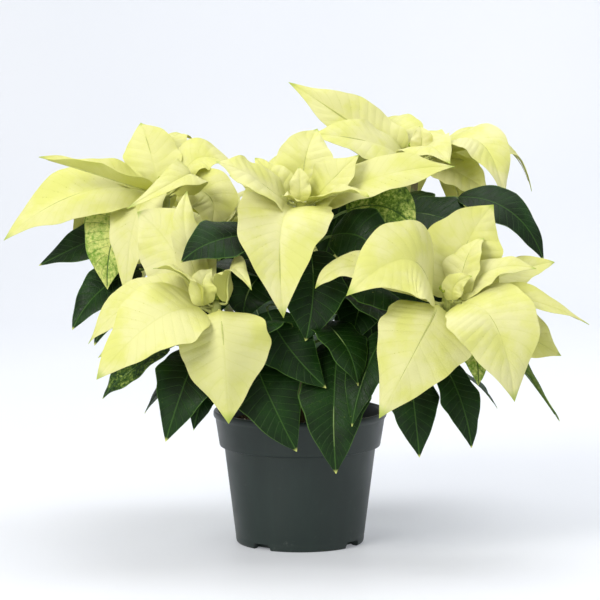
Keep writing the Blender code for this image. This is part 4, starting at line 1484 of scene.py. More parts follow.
class Surface:
    """The shader tree of one finish."""

    def __init__(self, name: str) -> None:
        """Start a material with a Principled shader."""
        self.material = bpy.data.materials.new(name)
        self.material.use_nodes = True
        self.nodes = self.material.node_tree
        self.shader = self.nodes.nodes["Principled BSDF"]
        self.output = self.nodes.nodes["Material Output"]

    def number(self, name: str) -> NodeSocket:
        """A number that the points of the mesh carry."""
        return add(self.nodes, "ShaderNodeAttribute", attribute_name=name).outputs["Fac"]

    def math(self, operation: str, *values: object) -> NodeSocket:
        """One sum of sockets or numbers."""
        return reckon(self.nodes, operation, *values)

    def part(self, value: object, share: float) -> NodeSocket:
        """A share of a number."""
        return self.math("MULTIPLY", value, share)

    def ramp(self, value: object, low: float, high: float, to_low: float = 0.0,
             to_high: float = 1.0) -> NodeSocket:
        """A smooth step from one range to another; it falls where low is above high."""
        made = add(self.nodes, "ShaderNodeMapRange",
                   {"Value": value, "From Min": low, "From Max": high, "To Min": to_low,
                    "To Max": to_high}, interpolation_type="SMOOTHSTEP")
        return made.outputs["Result"]

    def mix(self, share: object, first: object, second: object) -> NodeSocket:
        """Two colours mixed.

        Args:
            share: How much of the second.
            first: The first colour.
            second: The second colour.

        Returns:
            The mixed colour.
        """
        made = add(self.nodes, "ShaderNodeMix", {0: share}, data_type="RGBA")
        for number, value in ((6, first), (7, second)):
            if isinstance(value, NodeSocket):
                self.nodes.links.new(value, made.inputs[number])
            else:
                made.inputs[number].default_value = value
        return made.outputs[2]

    def place(self) -> NodeSocket:
        """Object coordinates in metres."""
        return add(self.nodes, "ShaderNodeTexCoord").outputs["Object"]

    def noise(self, size: float, detail: float = 3.0, rough: float = 0.55,
              where: object = None) -> NodeSocket:
        """Cloudy noise whose patches are about size millimetres wide."""
        made = add(self.nodes, "ShaderNodeTexNoise",
                   {"Vector": where or self.place(), "Scale": 1000.0 / size, "Detail": detail,
                    "Roughness": rough})
        return made.outputs["Fac"]

    def cells(self, size: float) -> NodeSocket:
        """Distance to the walls of a net whose meshes are about size millimetres wide."""
        made = add(self.nodes, "ShaderNodeTexVoronoi",
                   {"Vector": self.place(), "Scale": 1000.0 / size}, feature="DISTANCE_TO_EDGE")
        return made.outputs["Distance"]

    def bump(self, height: object, depth: float, strength: float = 1.0) -> None:
        """Relief from a height between 0 and 1, depth millimetres high."""
        made = add(self.nodes, "ShaderNodeBump",
                   {"Height": height, "Distance": depth * MM, "Strength": strength})
        self.nodes.links.new(made.outputs["Normal"], self.shader.inputs["Normal"])

    def vein_lines(self, side: tuple, middle: tuple) -> tuple:
        """Lines along the side veins and the rib.

        Args:
            side: Where a side vein starts and is full, from midway between two of them.
            middle: Where the rib starts and is full, in millimetres from its line.

        Returns:
            Two numbers, each 1 on its lines and 0 away from them.
        """
        phase = self.math("FRACT", self.number("veins"))
        line = self.ramp(self.math("ABSOLUTE", self.math("SUBTRACT", phase, 0.5)), *side)
        return line, self.ramp(self.number("from_rib"), *middle)

    def finish(self, colour: object, **values: object) -> None:
        """Set the base colour and the plain inputs of the shader.

        Args:
            colour: The base colour.
            **values: The other inputs, with an underscore for each space.
        """
        self.nodes.links.new(colour, self.shader.inputs["Base Color"])
        for key, value in values.items():
            self.shader.inputs[key.replace("_", " ")].default_value = value

    def glow(self, value: object, share: float) -> None:
        """Let light through.

        Args:
            value: Colour of the light that comes through.
            share: How much of the shader is translucent.
        """
        thin = add(self.nodes, "ShaderNodeBsdfTranslucent", {"Color": value})
        blend = add(self.nodes, "ShaderNodeMixShader",
                    {0: share, 1: self.shader.outputs["BSDF"], 2: thin.outputs["BSDF"]})
        self.nodes.links.new(blend.outputs["Shader"], self.output.inputs["Surface"])


@dataclass(frozen=True)
class BractTissue:
    """A poinsettia bract: thin soft leaf tissue without green.

    It gives a matt cream-yellow face with sunk side veins, cushions between them and light that
    shines through the blade. Shade is painted on its underside and towards its stalk.
    """

    body: str = "#EBEC8D"
    light: str = "#F4F2B4"
    # shade: a darker yellow, given at random to whole blades, and painted shade towards the stalk
    shade: str = "#D8DA70"
    vein: str = "#D3D768"
    # under: slightly greener tissue on the lower face, darkened further as painted shade
    under: str = "#C6C95E"
    tip: str = "#A9C23E"
    roughness: float = 0.5
    ior: float = 1.42
    gloss: float = 0.35
    sheen: float = 0.05
    sheen_roughness: float = 0.4
    vein_line: tuple = (0.40, 0.495)
    rib_line: tuple = (1.1, 0.35)
    patch_size: float = 34.0
    net_size: float = 2.6
    grain_size: float = 6.0
    relief: float = 0.4            # in millimetres
    light_through: float = 0.26

    def make(self) -> Material:
        """Build the shader.

        Returns:
            The material.
        """
        s = Surface("bract_tissue_cream")
        line, rib_line = s.vein_lines(self.vein_line, self.rib_line)
        veins = s.math("MAXIMUM", s.part(line, 0.6), s.part(rib_line, 0.7))
        patch = s.noise(self.patch_size, 4)
        base = s.mix(s.ramp(patch, 0.38, 0.66), linear(self.light), linear(self.body))
        base = s.mix(s.part(s.number("tone"), 0.35), base, linear(self.shade))
        # Painted shade: the blade darkens towards its stalk, in the crowded middle of the head
        stalk_end_shade = s.ramp(s.number("along"), 0.28, 0.0)
        base = s.mix(s.part(stalk_end_shade, 0.55), base, linear(self.shade))
        base = s.mix(s.part(veins, 0.22), base, linear(self.vein))
        # Painted shade: the lower face is mixed towards a darker olive
        base = s.mix(s.part(s.number("under"), 0.55), base, linear(self.under))
        tip = s.ramp(s.number("along"), 0.93, 0.99)
        base = s.mix(s.part(tip, 0.7), base, linear(self.tip))
        s.finish(base, Roughness=self.roughness, IOR=self.ior, Specular_IOR_Level=self.gloss,
                 Sheen_Weight=self.sheen, Sheen_Roughness=self.sheen_roughness)
        net = s.ramp(s.cells(self.net_size), 0.0, 0.12)
        relief = s.math("ADD", s.part(veins, -0.5), s.part(net, 0.35))
        relief = s.math("ADD", relief, s.part(s.noise(self.grain_size, 3), 0.8))
        s.bump(relief, self.relief, 0.8)
        s.glow(base, self.light_through)
        return s.material


@dataclass(frozen=True)
class LeafTissue:
    """A poinsettia leaf: waxy dark green tissue.

    It gives a satin face that mirrors the studio a little, pale ribs, side veins and edges, and
    cream mottling on the young leaves that are turning.
    """

    body: str = "#0C2205"
    light: str = "#173A0A"
    vein: str = "#3C6024"
    edge: str = "#5C8438"
    under: str = "#2F5020"
    turning: str = "#7DA236"
    cream: str = "#D5DC7C"
    roughness: float = 0.42
    ior: float = 1.45
    gloss: float = 0.26
    vein_line: tuple = (0.43, 0.495)
    rib_line: tuple = (0.95, 0.3)
    patch_size: float = 26.0
    mottle_size: float = 3.2
    net_size: float = 2.4
    relief: float = 0.4            # in millimetres
    light_through: float = 0.12

    def make(self) -> Material:
        """Build the shader.

        Returns:
            The material.
        """
        s = Surface("leaf_tissue_waxy")
        line, rib_line = s.vein_lines(self.vein_line, self.rib_line)
        border = s.part(s.ramp(s.number("across"), 0.955, 0.995), 0.8)
        tip = s.ramp(s.number("along"), 0.965, 0.995)
        patch = s.noise(self.patch_size, 4)
        fine = s.noise(self.mottle_size, 4, 0.65)
        base = s.mix(s.ramp(patch, 0.35, 0.7), linear(self.body), linear(self.light))
        base = s.mix(s.part(s.number("tone"), 0.5), base, linear(self.light))
        mottle = s.math("ADD", s.part(fine, 0.6), s.part(patch, 0.5))
        pale = s.number("pale")
        reach = s.math("ADD", mottle, s.part(pale, 0.22))
        turned = s.mix(s.ramp(reach, 0.62, 0.84), linear(self.turning), linear(self.cream))
        spread = s.math("ADD", reach, s.part(pale, 0.4))
        base = s.mix(s.ramp(spread, 0.66, 0.96), base, turned)
        base = s.mix(s.part(line, 0.42), base, linear(self.vein))
        base = s.mix(s.part(rib_line, 0.85), base, linear(self.vein))
        base = s.mix(border, base, linear(self.edge))
        base = s.mix(tip, base, linear(self.cream))
        base = s.mix(s.part(s.number("under"), 0.6), base, linear(self.under))
        s.finish(base, IOR=self.ior, Specular_IOR_Level=self.gloss)
        rough = s.ramp(fine, 0.3, 0.7, self.roughness - 0.05, self.roughness + 0.12)
        s.nodes.links.new(rough, s.shader.inputs["Roughness"])
        veins = s.math("MAXIMUM", line, rib_line)
        net = s.ramp(s.cells(self.net_size), 0.0, 0.14)
        s.bump(s.math("ADD", s.part(veins, -0.8), s.part(net, 0.35)), self.relief, 0.8)
        s.glow(base, self.light_through)
        return s.material


@dataclass(frozen=True)
class StalkSkin:
    """The skin of a stalk or stem: smooth and green when young, brown and corky when old."""

    name: str = "stalk_skin"
    young: str = "#8FA85A"
    old: str = "#6B5A3C"
    shade: tuple = (0.02, 0.03, 0.01, 1)
    roughness: float = 0.5
    ior: float = 1.45
    patch_size: float = 9.0
    grain_size: float = 2.2

    def make(self) -> Material:
        """Build the shader.

        Returns:
            The material.
        """
        s = Surface(self.name)
        patch = s.noise(self.patch_size, 4, 0.6)
        woody = s.math("MULTIPLY", s.number("age"), s.ramp(patch, 0.2, 0.6))
        base = s.mix(woody, linear(self.young), linear(self.old))
        base = s.mix(s.part(s.ramp(patch, 0.45, 0.7), 0.25), base, self.shade)
        s.finish(base, Roughness=self.roughness, IOR=self.ior)
        s.bump(s.noise(self.grain_size, 5, 0.6), 0.3, 0.6)
        return s.material


@dataclass(frozen=True)
class BudSkin:
    """The skin of a flower cup: smooth, a little shiny, green that yellows at its mouth."""

    name: str = "bud_skin"
    low: str = "#6F8F2E"
    high: str = "#B7BE3C"
    roughness: float = 0.42
    ior: float = 1.45
    patch_size: float = 1.6
    grain_size: float = 0.8

    def make(self) -> Material:
        """Build the shader.

        Returns:
            The material.
        """
        s = Surface(self.name)
        patch = s.ramp(s.noise(self.patch_size, 3), 0.35, 0.65)
        base = s.mix(patch, linear(self.low), linear(self.high))
        s.finish(base, Roughness=self.roughness, IOR=self.ior)
        s.bump(s.noise(self.grain_size, 3), 0.12, 0.5)
        return s.material


@dataclass(frozen=True)
class MouldedPlastic:
    """Injection moulded polypropylene, dark green: satin, with faint flow marks and dust."""

    body: str = "#14241F"
    faded: str = "#20322C"
    dust: str = "#6D726A"
    roughness: float = 0.42
    ior: float = 1.49
    streak_size: float = 14.0
    streak_shape: tuple = (1.0, 1.0, 0.16)    # long streaks, up and down the wall
    cloud_size: float = 60.0
    dust_size: float = 7.0
    dust_height: float = 0.02                 # in metres above the foot
    grain_size: float = 1.1

    def make(self) -> Material:
        """Build the shader.

        Returns:
            The material.
        """
        s = Surface("moulded_plastic_dark_green")
        where = s.place()
        long = add(s.nodes, "ShaderNodeMapping", {"Vector": where, "Scale": self.streak_shape})
        streaks = s.noise(self.streak_size, 5, 0.6, long.outputs["Vector"])
        faded = s.part(s.ramp(streaks, 0.4, 0.75), 0.35)
        base = s.mix(faded, linear(self.body), linear(self.faded))
        height = add(s.nodes, "ShaderNodeSeparateXYZ", {"Vector": where}).outputs["Z"]
        low = s.ramp(height, self.dust_height, 0.0)
        marks = s.ramp(s.noise(self.dust_size, 6, 0.7), 0.58, 0.75)
        dusty = s.math("MULTIPLY", marks, s.math("ADD", s.part(low, 0.35), 0.07))
        s.finish(s.mix(dusty, base, linear(self.dust)), IOR=self.ior)
        cloud = s.noise(self.cloud_size, 3)
        rough = s.ramp(cloud, 0.3, 0.7, self.roughness - 0.04, self.roughness + 0.08)
        s.nodes.links.new(rough, s.shader.inputs["Roughness"])
        grain = s.math("ADD", s.part(s.noise(self.grain_size, 3), 0.5), s.part(streaks, 0.5))
        s.bump(grain, 0.1, 0.5)
        return s.material


@dataclass(frozen=True)
class Peat:
    """Moist milled peat: dark brown fibres and crumbs that take up light."""

    name: str = "peat_moist"
    dark: str = "#1D140D"
    light: str = "#4A3522"
    roughness: float = 0.95
    ior: float = 1.4
    grain_size: float = 2.4
    patch_size: float = 18.0
    relief: float = 1.2            # in millimetres

    def make(self) -> Material:
        """Build the shader.

        Returns:
            The material.
        """
        s = Surface(self.name)
        grain = s.noise(self.grain_size, 6, 0.7)
        base = s.mix(s.ramp(grain, 0.35, 0.7), linear(self.dark), linear(self.light))
        patch = s.ramp(s.noise(self.patch_size, 3), 0.5, 0.8)
        base = s.mix(s.part(patch, 0.4), base, linear(self.dark))
        s.finish(base, Roughness=self.roughness, IOR=self.ior)
        s.bump(grain, self.relief, 0.9)
        return s.material


@dataclass
class Finishes:
    """Every material of the plant, made once."""

    bract: Material = field(default_factory=BractTissue().make)
    leaf: Material = field(default_factory=LeafTissue().make)
    bract_stalk: Material = field(
        default_factory=StalkSkin("bract_stalk_skin", "#CDCF7A", "#9AA552").make)
    leaf_stalk: Material = field(
        default_factory=StalkSkin("leaf_stalk_skin", "#6F8C4A", "#6B5A3C").make)
    bud: Material = field(default_factory=BudSkin().make)
    gland: Material = field(default_factory=BudSkin("gland_skin", "#C9B52F", "#E2CF55").make)
    plastic: Material = field(default_factory=MouldedPlastic().make)
    peat: Material = field(default_factory=Peat().make)
    perlite: Material = field(default_factory=Peat("perlite_grain", "#B9B2A2", "#E4DFD2").make)


# Sub-assemblies


@dataclass
class Head:
    """One head of cream bracts on its swollen stem end."""

    name: str
    bracts: list[Blade]
    finishes: Finishes
    look: BladeLook = BladeLook()
    stalk: float = 1.15
    small_stalk: float = 0.75      # of that radius, for a small bract
    neck: tuple = ((-HUB_LENGTH + 0.2, 3.3), (-20.0, 3.9), (-14.0, 4.7), (-8.0, 4.9),
                   (-3.0, 4.5), (-0.8, 3.6), (-0.1, 2.2))

    def build(self) -> None:
        """Make the bracts, and their stalks with the stem end."""
        node = "bloom_" + self.name
        seed = 100 * (1 + list(HUBS).index(self.name))
        sheets = [FineBlade(blade, self.look, seed + k).build()
                  for k, blade in enumerate(self.bracts)]
        mesh = build_mesh(node + "_bracts", *gather(sheets))
        place_piece(show(node + "_bracts", mesh, self.finishes.bract), "cream_bract", node)
        hub = np.array(HUBS[self.name], float)
        tubes = Tubes(node + "_stalks")
        heights, radii = np.array(self.neck).T
        tubes.add_chain(hub + np.outer(heights, (0, 0, 1.0)), radii, 0.8)
        for blade in self.bracts:
            share = 1.0 if blade.width > SMALL_WIDTH else self.small_stalk
            tubes.add_chain(*stalk_chain(blade, self.stalk * share), 0.25)
        stalks = show(node + "_stalks", tubes.mesh(self.finishes.bract_stalk), None, 60)
        place_piece(stalks, "cream_bract", node)


@dataclass
class LeafyStem:
    """One stem with its leaves."""

    name: str
    leaves: list[Blade]
    finishes: Finishes
    look: BladeLook = BladeLook(thickness=0.6, vein_gap=7.5, vein_lean=0.14, quilt=0.45,
                                ripple=0.8, unevenness=1.0, ragged=0.02, rib_groove=0.35)
    stalk: float = 1.25
    sides: int = 12
    steps: int = 72
    scars: int = 3                 # of leaves that have dropped
    scar_stretch: tuple = (0.04, 0.5)
    knot: float = 0.55             # how far a joint swells, in millimetres
    knot_length: float = 0.012     # as a share of the stem
    most_swelling: float = 0.35

    def build(self) -> None:
        """Make the leaves, and the stem with its stalks."""
        node = "stem_" + self.name
        seed = 5000 + 100 * list(HUBS).index(self.name)
        sheets = [FineBlade(blade, self.look, seed + k).build()
                  for k, blade in enumerate(self.leaves)]
        mesh = build_mesh(node + "_leaves", *gather(sheets))
        place_piece(show(node + "_leaves", mesh, self.finishes.leaf), "green_foliage", node)
        line = StemLine(self.name)
        t = np.linspace(0, 1, self.steps)
        points = line.at(t)
        radii = STEM_FOOT_RADIUS + (STEM_TOP_RADIUS - STEM_FOOT_RADIUS) * t
        rng = np.random.default_rng(seed)
        joints = [self.height_of(line, blade) for blade in self.leaves]
        joints += list(rng.uniform(*self.scar_stretch, self.scars))
        for joint in joints:
            radii = radii + self.knot * np.exp(-((t - joint) / self.knot_length) ** 2)
        foot = points[0] * (1, 1, 0) + (0, 0, HOLE_FLOOR + GAP)
        points = np.vstack([foot, points])
        radii = np.concatenate([[STEM_FOOT_RADIUS], radii])
        tubes = Tubes(node + "_stalks", self.sides)
        tubes.add_chain(points, np.minimum(radii, STEM_FOOT_RADIUS + self.most_swelling), 1.0)
        for blade in self.leaves:
            tubes.add_chain(*stalk_chain(blade, self.stalk), 0.15)
        stalks = show(node + "_stalks", tubes.mesh(self.finishes.leaf_stalk), None, 60)
        place_piece(stalks, "green_foliage", node)

    @staticmethod
    def height_of(line: StemLine, blade: Blade) -> float:
        """How far up the stem a leaf's stalk leaves it."""
        t = np.linspace(0, 1, 200)
        return float(t[np.argmin(np.linalg.norm(line.at(t) - blade.foot, axis=1))])


# Outlines of a flower cup and of the gland at its lip, and the cup's ribs
CUP_PROFILE = ((0, -1.0), (0.42, -0.92), (0.82, -0.5), (1.0, 0.05), (0.92, 0.6), (0.66, 0.98),
               (0.5, 1.08), (0.34, 0.96), (0.2, 0.6), (0, 0.5))
GLAND_PROFILE = ((0, -0.3), (0.5, -0.22), (0.78, 0.02), (0.7, 0.22), (0.42, 0.12), (0, 0.02))
CUP_RIBS = 5
CUP_RIB_HEIGHT = 0.06
CUP_SIZES = (0.86, 1.12)


def ribbed(x: float, y: float) -> float:
    """How far the ribs of a cup stand out at a place around its axis."""
    return 1 + CUP_RIB_HEIGHT * math.cos(CUP_RIBS * math.atan2(y, x))


def cup_mesh(name: str, sides: int, mouth: bool) -> Object:
    """The shape that is repeated in a bud cluster: a ribbed cup, or the gland at its lip.

    Args:
        name: The object's name.
        sides: Number of sides.
        mouth: True for the open cup, False for the gland.

    Returns:
        An object that is linked to no collection.
    """
    points, faces = turned_shell(CUP_PROFILE if mouth else GLAND_PROFILE, sides)
    if mouth:
        points = [(x * ribbed(x, y), y * ribbed(x, y), z) for x, y, z in points]
    mesh = bpy.data.meshes.new(name)
    mesh.from_pydata(points, [], faces)
    mesh.shade_smooth()
    return bpy.data.objects.new(name, mesh)


def cluster_tree() -> NodeTree:
    """Copies of one shape set by the sunflower rule, each leaning outwards.

    Returns:
        The tree.
    """
    made = new_tree("cluster", {"Shape": "Object", "Count": 9, "Spacing": 0.0021, "Size": 0.0026,
                                "Lean": 0.5, "Drop": 0.0005, "Lift": 0.0, "Offset": 0.0,
                                "Seed": 1, "Finish": "Material"})
    start = add(made, "NodeGroupInput")
    out = start.outputs
    line = add(made, "GeometryNodeMeshLine", {"Count": out["Count"]})
    index = add(made, "GeometryNodeInputIndex").outputs["Index"]
    angle = reckon(made, "MULTIPLY", index, GOLDEN_ANGLE)
    root = reckon(made, "SQRT", index)
    far = reckon(made, "ADD", reckon(made, "MULTIPLY", root, out["Spacing"]), out["Offset"])
    across = reckon(made, "MULTIPLY", reckon(made, "COSINE", angle), far)
    deep = reckon(made, "MULTIPLY", reckon(made, "SINE", angle), far)
    fall = reckon(made, "MULTIPLY", index, out["Drop"])
    high = reckon(made, "SUBTRACT", out["Lift"], fall)
    spot = add(made, "ShaderNodeCombineXYZ", {"X": across, "Y": deep, "Z": high})
    points = add(made, "GeometryNodeSetPosition",
                 {"Geometry": line.outputs["Mesh"], "Position": spot.outputs["Vector"]})
    lean = reckon(made, "MULTIPLY", root, out["Lean"])
    turned = add(made, "ShaderNodeCombineXYZ", {"Y": lean, "Z": angle})
    shape = add(made, "GeometryNodeObjectInfo", {"Object": out["Shape"]})
    wobble = add(made, "FunctionNodeRandomValue",
                 {2: CUP_SIZES[0], 3: CUP_SIZES[1], "Seed": out["Seed"]}, data_type="FLOAT")
    size = reckon(made, "MULTIPLY", out["Size"], wobble.outputs[1])
    copies = add(made, "GeometryNodeInstanceOnPoints",
                 {"Points": points.outputs["Geometry"], "Instance": shape.outputs["Geometry"],
                  "Rotation": turned.outputs["Vector"], "Scale": size})
    end_tree(made, copies.outputs["Instances"], out["Finish"])
    return made


@dataclass
class BudCluster:
    """The green flower cups in the middle of one head, each with a yellow gland."""

    name: str
    finishes: Finishes
    count: int = 8
    cup_sides: int = 14
    cup_size: float = 0.0025       # these sizes are in metres
    cup_lift: float = 0.0092
    gland_sides: int = 10
    gland_size: float = 0.0013
    gland_lift: float = 0.0113
    gland_offset: float = 0.0011
    cushion_sides: int = 20
    cushion: tuple = ((0, 0.35), (3.3, 0.35), (3.9, 2.2), (5.2, 5.0), (6.2, 7.0), (4.5, 8.4),
                      (0, 9.2))

    def build(self) -> None:
        """Make the cushion with its cups, and the glands."""
        node = "buds_" + self.name
        hub = HUBS[self.name]
        seed = 40 + list(HUBS).index(self.name)
        points, faces = turned_shell(self.cushion, self.cushion_sides)
        cushion = plain_mesh(node + "_cushion", points, faces)
        cushion.materials.append(self.finishes.bud)
        cups = self.spread(cup_mesh("cup", self.cup_sides, True), self.finishes.bud, seed,
                           Size=self.cup_size, Lift=self.cup_lift, Offset=0.0)
        glands = self.spread(cup_mesh("gland", self.gland_sides, False), self.finishes.gland,
                             seed, Size=self.gland_size, Lift=self.gland_lift,
                             Offset=self.gland_offset)
        for part, mesh, finish in (("cups", cups, self.finishes.bud),
                                   ("glands", glands, self.finishes.gland)):
            mesh.transform(translation(hub))
            place_piece(show(node + "_" + part, mesh, finish), "green_bud", node)
        cushion.transform(translation(hub))
        place_piece(show(node + "_cushion", cushion, None), "green_bud", node)

    def spread(self, shape: Object, finish: Material, seed: int,
               **values: float) -> Mesh:
        """Repeat a shape over the cushion.

        Args:
            shape: What is repeated.
            finish: Its material.
            seed: For the small differences in size.
            **values: Other inputs of the tree, in metres.

        Returns:
            The plain mesh.
        """
        start = linked("seedbed", bpy.data.meshes.new("seedbed"))
        bpy.context.scene.collection.objects.link(shape)
        mesh = grown(start, cluster_tree(), {"Shape": shape, "Count": self.count, "Seed": seed,
                                             "Finish": finish, **values})
        bpy.data.objects.remove(shape, do_unlink=True)
        return mesh


def translation(place: tuple) -> Matrix:
    """The matrix that moves a mesh to a place given in millimetres."""
    return Matrix.Translation(Vector(place) * MM)


@dataclass
class NurseryPot:
    """The moulded pot: tapered wall, banded collar, rolled rim and four notches in its foot."""

    finishes: Finishes
    sides: int = 160
    rolled_rim: tuple = ((1.9, 8.2), (1.2, 6.6), (0.3, 5.6), (0, 4.6), (0, 1.9), (0.45, 0.7),
                         (1.4, 0.05), (2.8, 0.1), (3.9, 0.9), (4.6, 2.6))    # in and down

    def profile(self) -> list[tuple]:
        """Outline of the wall, from under the floor round to the floor inside.

        Returns:
            Radius and height of each ring.
        """
        collar = POT_HEIGHT - BAND_HEIGHT
        outer = [
            (0, 0.9), (BASE_RADIUS - 7.0, 0.9), (BASE_RADIUS - 5.4, 0.0),
            (BASE_RADIUS - 1.6, 0.0), (BASE_RADIUS - 0.5, 0.35), (BASE_RADIUS + 0.1, 1.1),
            (body_radius(3) + 0.2, 3.2), (body_radius(6.5), 6.5), (body_radius(7.2) - 0.12, 7.3),
            (body_radius(8), 8.0), (body_radius(30), 30), (body_radius(60), 60),
            (body_radius(collar - 3), collar - 3), (body_radius(collar) + 0.1, collar - 1.3),
            (body_radius(collar) + 0.9, collar - 0.75), (BAND_RADIUS - 1.5, collar - 0.5),
            (BAND_RADIUS - 0.5, collar - 0.1), (BAND_RADIUS, collar + 0.9),
            (BAND_RADIUS + 0.6, collar + 5),
        ]
        rim = [(RIM_RADIUS - inset, POT_HEIGHT - drop) for inset, drop in self.rolled_rim]
        inner = [
            (BAND_RADIUS - POT_WALL + 0.4, collar + 4), (BAND_RADIUS - POT_WALL - 0.6, collar + 1),
            (BODY_RADIUS - POT_WALL, collar - 2), (body_radius(40) - POT_WALL - 0.2, 40),
            (body_radius(POT_FLOOR + 5) - POT_WALL - 0.4, POT_FLOOR + 5),
            (BASE_RADIUS - 5, POT_FLOOR), (0, POT_FLOOR),
        ]
        return outer + rim + inner

    def build(self) -> None:
        """Turn the wall and cut the notches."""
        mesh = plain_mesh("pot_wall", *turned_shell(self.profile(), self.sides))
        item = linked("pot_wall", mesh)
        group = bpy.data.collections.new("notches")
        bpy.context.scene.collection.children.link(group)
        cutters = [self.notch(heading) for heading in NOTCH_HEADINGS]
        for cutter in cutters:
            group.objects.link(cutter)
        change = item.modifiers.new("notches", "BOOLEAN")
        change.operation = "DIFFERENCE"
        change.operand_type = "COLLECTION"
        change.collection = group
        change.solver = "EXACT"
        graph = bpy.context.evaluated_depsgraph_get()
        cut = bpy.data.meshes.new_from_object(item.evaluated_get(graph), depsgraph=graph)
        for old in [item, *cutters]:
            bpy.data.objects.remove(old, do_unlink=True)
        bpy.data.collections.remove(group)
        piece = show("pot_wall", cut, self.finishes.plastic, 34)
        place_piece(piece, "pot_plastic", "pot")

    @staticmethod
    def notch(heading: float) -> Object:
        """The shape that cuts one notch: its roof has sloping ends.

        Args:
            heading: Where the notch is, in degrees anticlockwise from +X.

        Returns:
            An object that is linked to no collection.
        """
        half, roof = NOTCH_WIDTH / 2, NOTCH_WIDTH / 2 - 2.4
        low, high = BASE_RADIUS - 9, BASE_RADIUS + 8
        outline_of = [(-half, -2.0), (half, -2.0), (half, 2.2), (roof + 1.2, FOOT_CUT - 0.9),
                      (roof, FOOT_CUT), (-roof, FOOT_CUT), (-roof - 1.2, FOOT_CUT - 0.9),
                      (-half, 2.2)]
        angle = math.radians(heading)
        points = []
        for reach in (low, high):
            for across, height in outline_of:
                points.append(((reach * math.cos(angle) - across * math.sin(angle)) * MM,
                               (reach * math.sin(angle) + across * math.cos(angle)) * MM,
                               height * MM))
        count = len(outline_of)
        faces = [tuple(range(count))[::-1], tuple(range(count, 2 * count))]
        faces += [(k, (k + 1) % count, count + (k + 1) % count, count + k)
                  for k in range(count)]
        mesh = bpy.data.meshes.new("notch")
        mesh.from_pydata(points, [], faces)
        return bpy.data.objects.new("notch", mesh)


def crumb_tree() -> NodeTree:
    """Crumbs strewn over a surface, each turned and sized at random.

    Returns:
        The tree.
    """
    made = new_tree("crumbs", {"Density": 90000.0, "Smallest": 0.0006, "Largest": 0.0022,
                               "Seed": 3, "Finish": "Material"})
    out = add(made, "NodeGroupInput").outputs
    spread = add(made, "GeometryNodeDistributePointsOnFaces",
                 {"Mesh": out["Geometry"], "Density": out["Density"], "Seed": out["Seed"]})
    crumb = add(made, "GeometryNodeMeshIcoSphere", {"Radius": 1.0, "Subdivisions": 1})
    turned = add(made, "FunctionNodeRandomValue",
                 {1: (6.283, 6.283, 6.283), "Seed": out["Seed"]}, data_type="FLOAT_VECTOR")
    size = add(made, "FunctionNodeRandomValue",
               {2: out["Smallest"], 3: out["Largest"], "Seed": out["Seed"]}, data_type="FLOAT")
    stretch = add(made, "FunctionNodeRandomValue",
                  {0: (0.6, 0.6, 0.5), 1: (1.5, 1.1, 0.9), "Seed": out["Seed"]},
                  data_type="FLOAT_VECTOR")
    scale = add(made, "ShaderNodeVectorMath",
                {0: stretch.outputs[0], "Scale": size.outputs[1]}, operation="SCALE")
    copies = add(made, "GeometryNodeInstanceOnPoints",
                 {"Points": spread.outputs["Points"], "Instance": crumb.outputs["Mesh"],
                  "Rotation": turned.outputs[0], "Scale": scale.outputs[0]})
    end_tree(made, copies.outputs["Instances"], out["Finish"])
    return made


@dataclass
class PeatFill:
    """The peat in the pot: an uneven top with crumbs and a few grains of perlite."""

    finishes: Finishes
    sides: int = 96
    rings: int = 26
    ring_crowding: float = 1.15
    peat_crumbs: tuple = (105000.0, 0.0005, 0.0019, 3)    # a square metre, sizes and seed
    perlite: tuple = (3600.0, 0.0007, 0.0016, 8)

    @staticmethod
    def top_height(x: ndarray, y: ndarray) -> ndarray:
        """Height of the uneven top.

        Args:
            x: Places in millimetres.
            y: Places in millimetres.

        Returns:
            Heights in millimetres.
        """
        wave = (np.sin(x / 9.0 + 1.3) * np.cos(y / 11.0) + 0.6 * np.sin(x / 4.1 - y / 5.3)
                + 0.4 * np.cos(x / 2.3 + y / 2.9 + 1.0))
        return SOIL_TOP + 0.9 + 0.75 * wave

    def build(self) -> None:
        """Make the body of peat and strew its crumbs."""
        wall = POT_WALL + GAP
        collar = POT_HEIGHT - BAND_HEIGHT
        edge = BAND_RADIUS - wall - 0.2
        profile = [(0, POT_FLOOR + GAP), (BASE_RADIUS - 6, POT_FLOOR + GAP),
                   (body_radius(POT_FLOOR + 5) - wall - 1.2, POT_FLOOR + 5.6),
                   (BODY_RADIUS - wall - 0.6, collar - 2), (BAND_RADIUS - wall - 1.4, collar + 2)]
        below = len(profile) - 1
        profile += [(edge * (1 - (k / self.rings) ** self.ring_crowding), 0)
                    for k in range(self.rings)]
        profile.append((0, 0))
        points, faces = turned_shell(profile, self.sides)
        points = np.array(points, float)
        first = 1 + below * self.sides
        top = points[first:]
        top[:, 2] = self.top_height(top[:, 0], top[:, 1])
        mesh = plain_mesh("soil_body", points, faces)
        piece = show("soil_body", mesh, self.finishes.peat, 60)
        place_piece(piece, "peat_soil", "soil")
        upper = [face for face in faces if min(face) >= first]
        for name, (density, small, large, seed), finish in (
                ("soil_crumbs", self.peat_crumbs, self.finishes.peat),
                ("soil_perlite", self.perlite, self.finishes.perlite)):
            skin = plain_mesh(name, points, upper)
            crumbs = grown(linked(name + "_bed", skin), crumb_tree(),
                           {"Density": density, "Smallest": small, "Largest": large,
                            "Seed": seed, "Finish": finish})
            place_piece(show(name, crumbs, None, 60), "peat_soil", "soil")


class Lamp(NamedTuple):
    """One soft square light: places and side in metres, power in watts."""

    name: str
    place: tuple
    aim: tuple
    size: float
    power: float
    tint: str


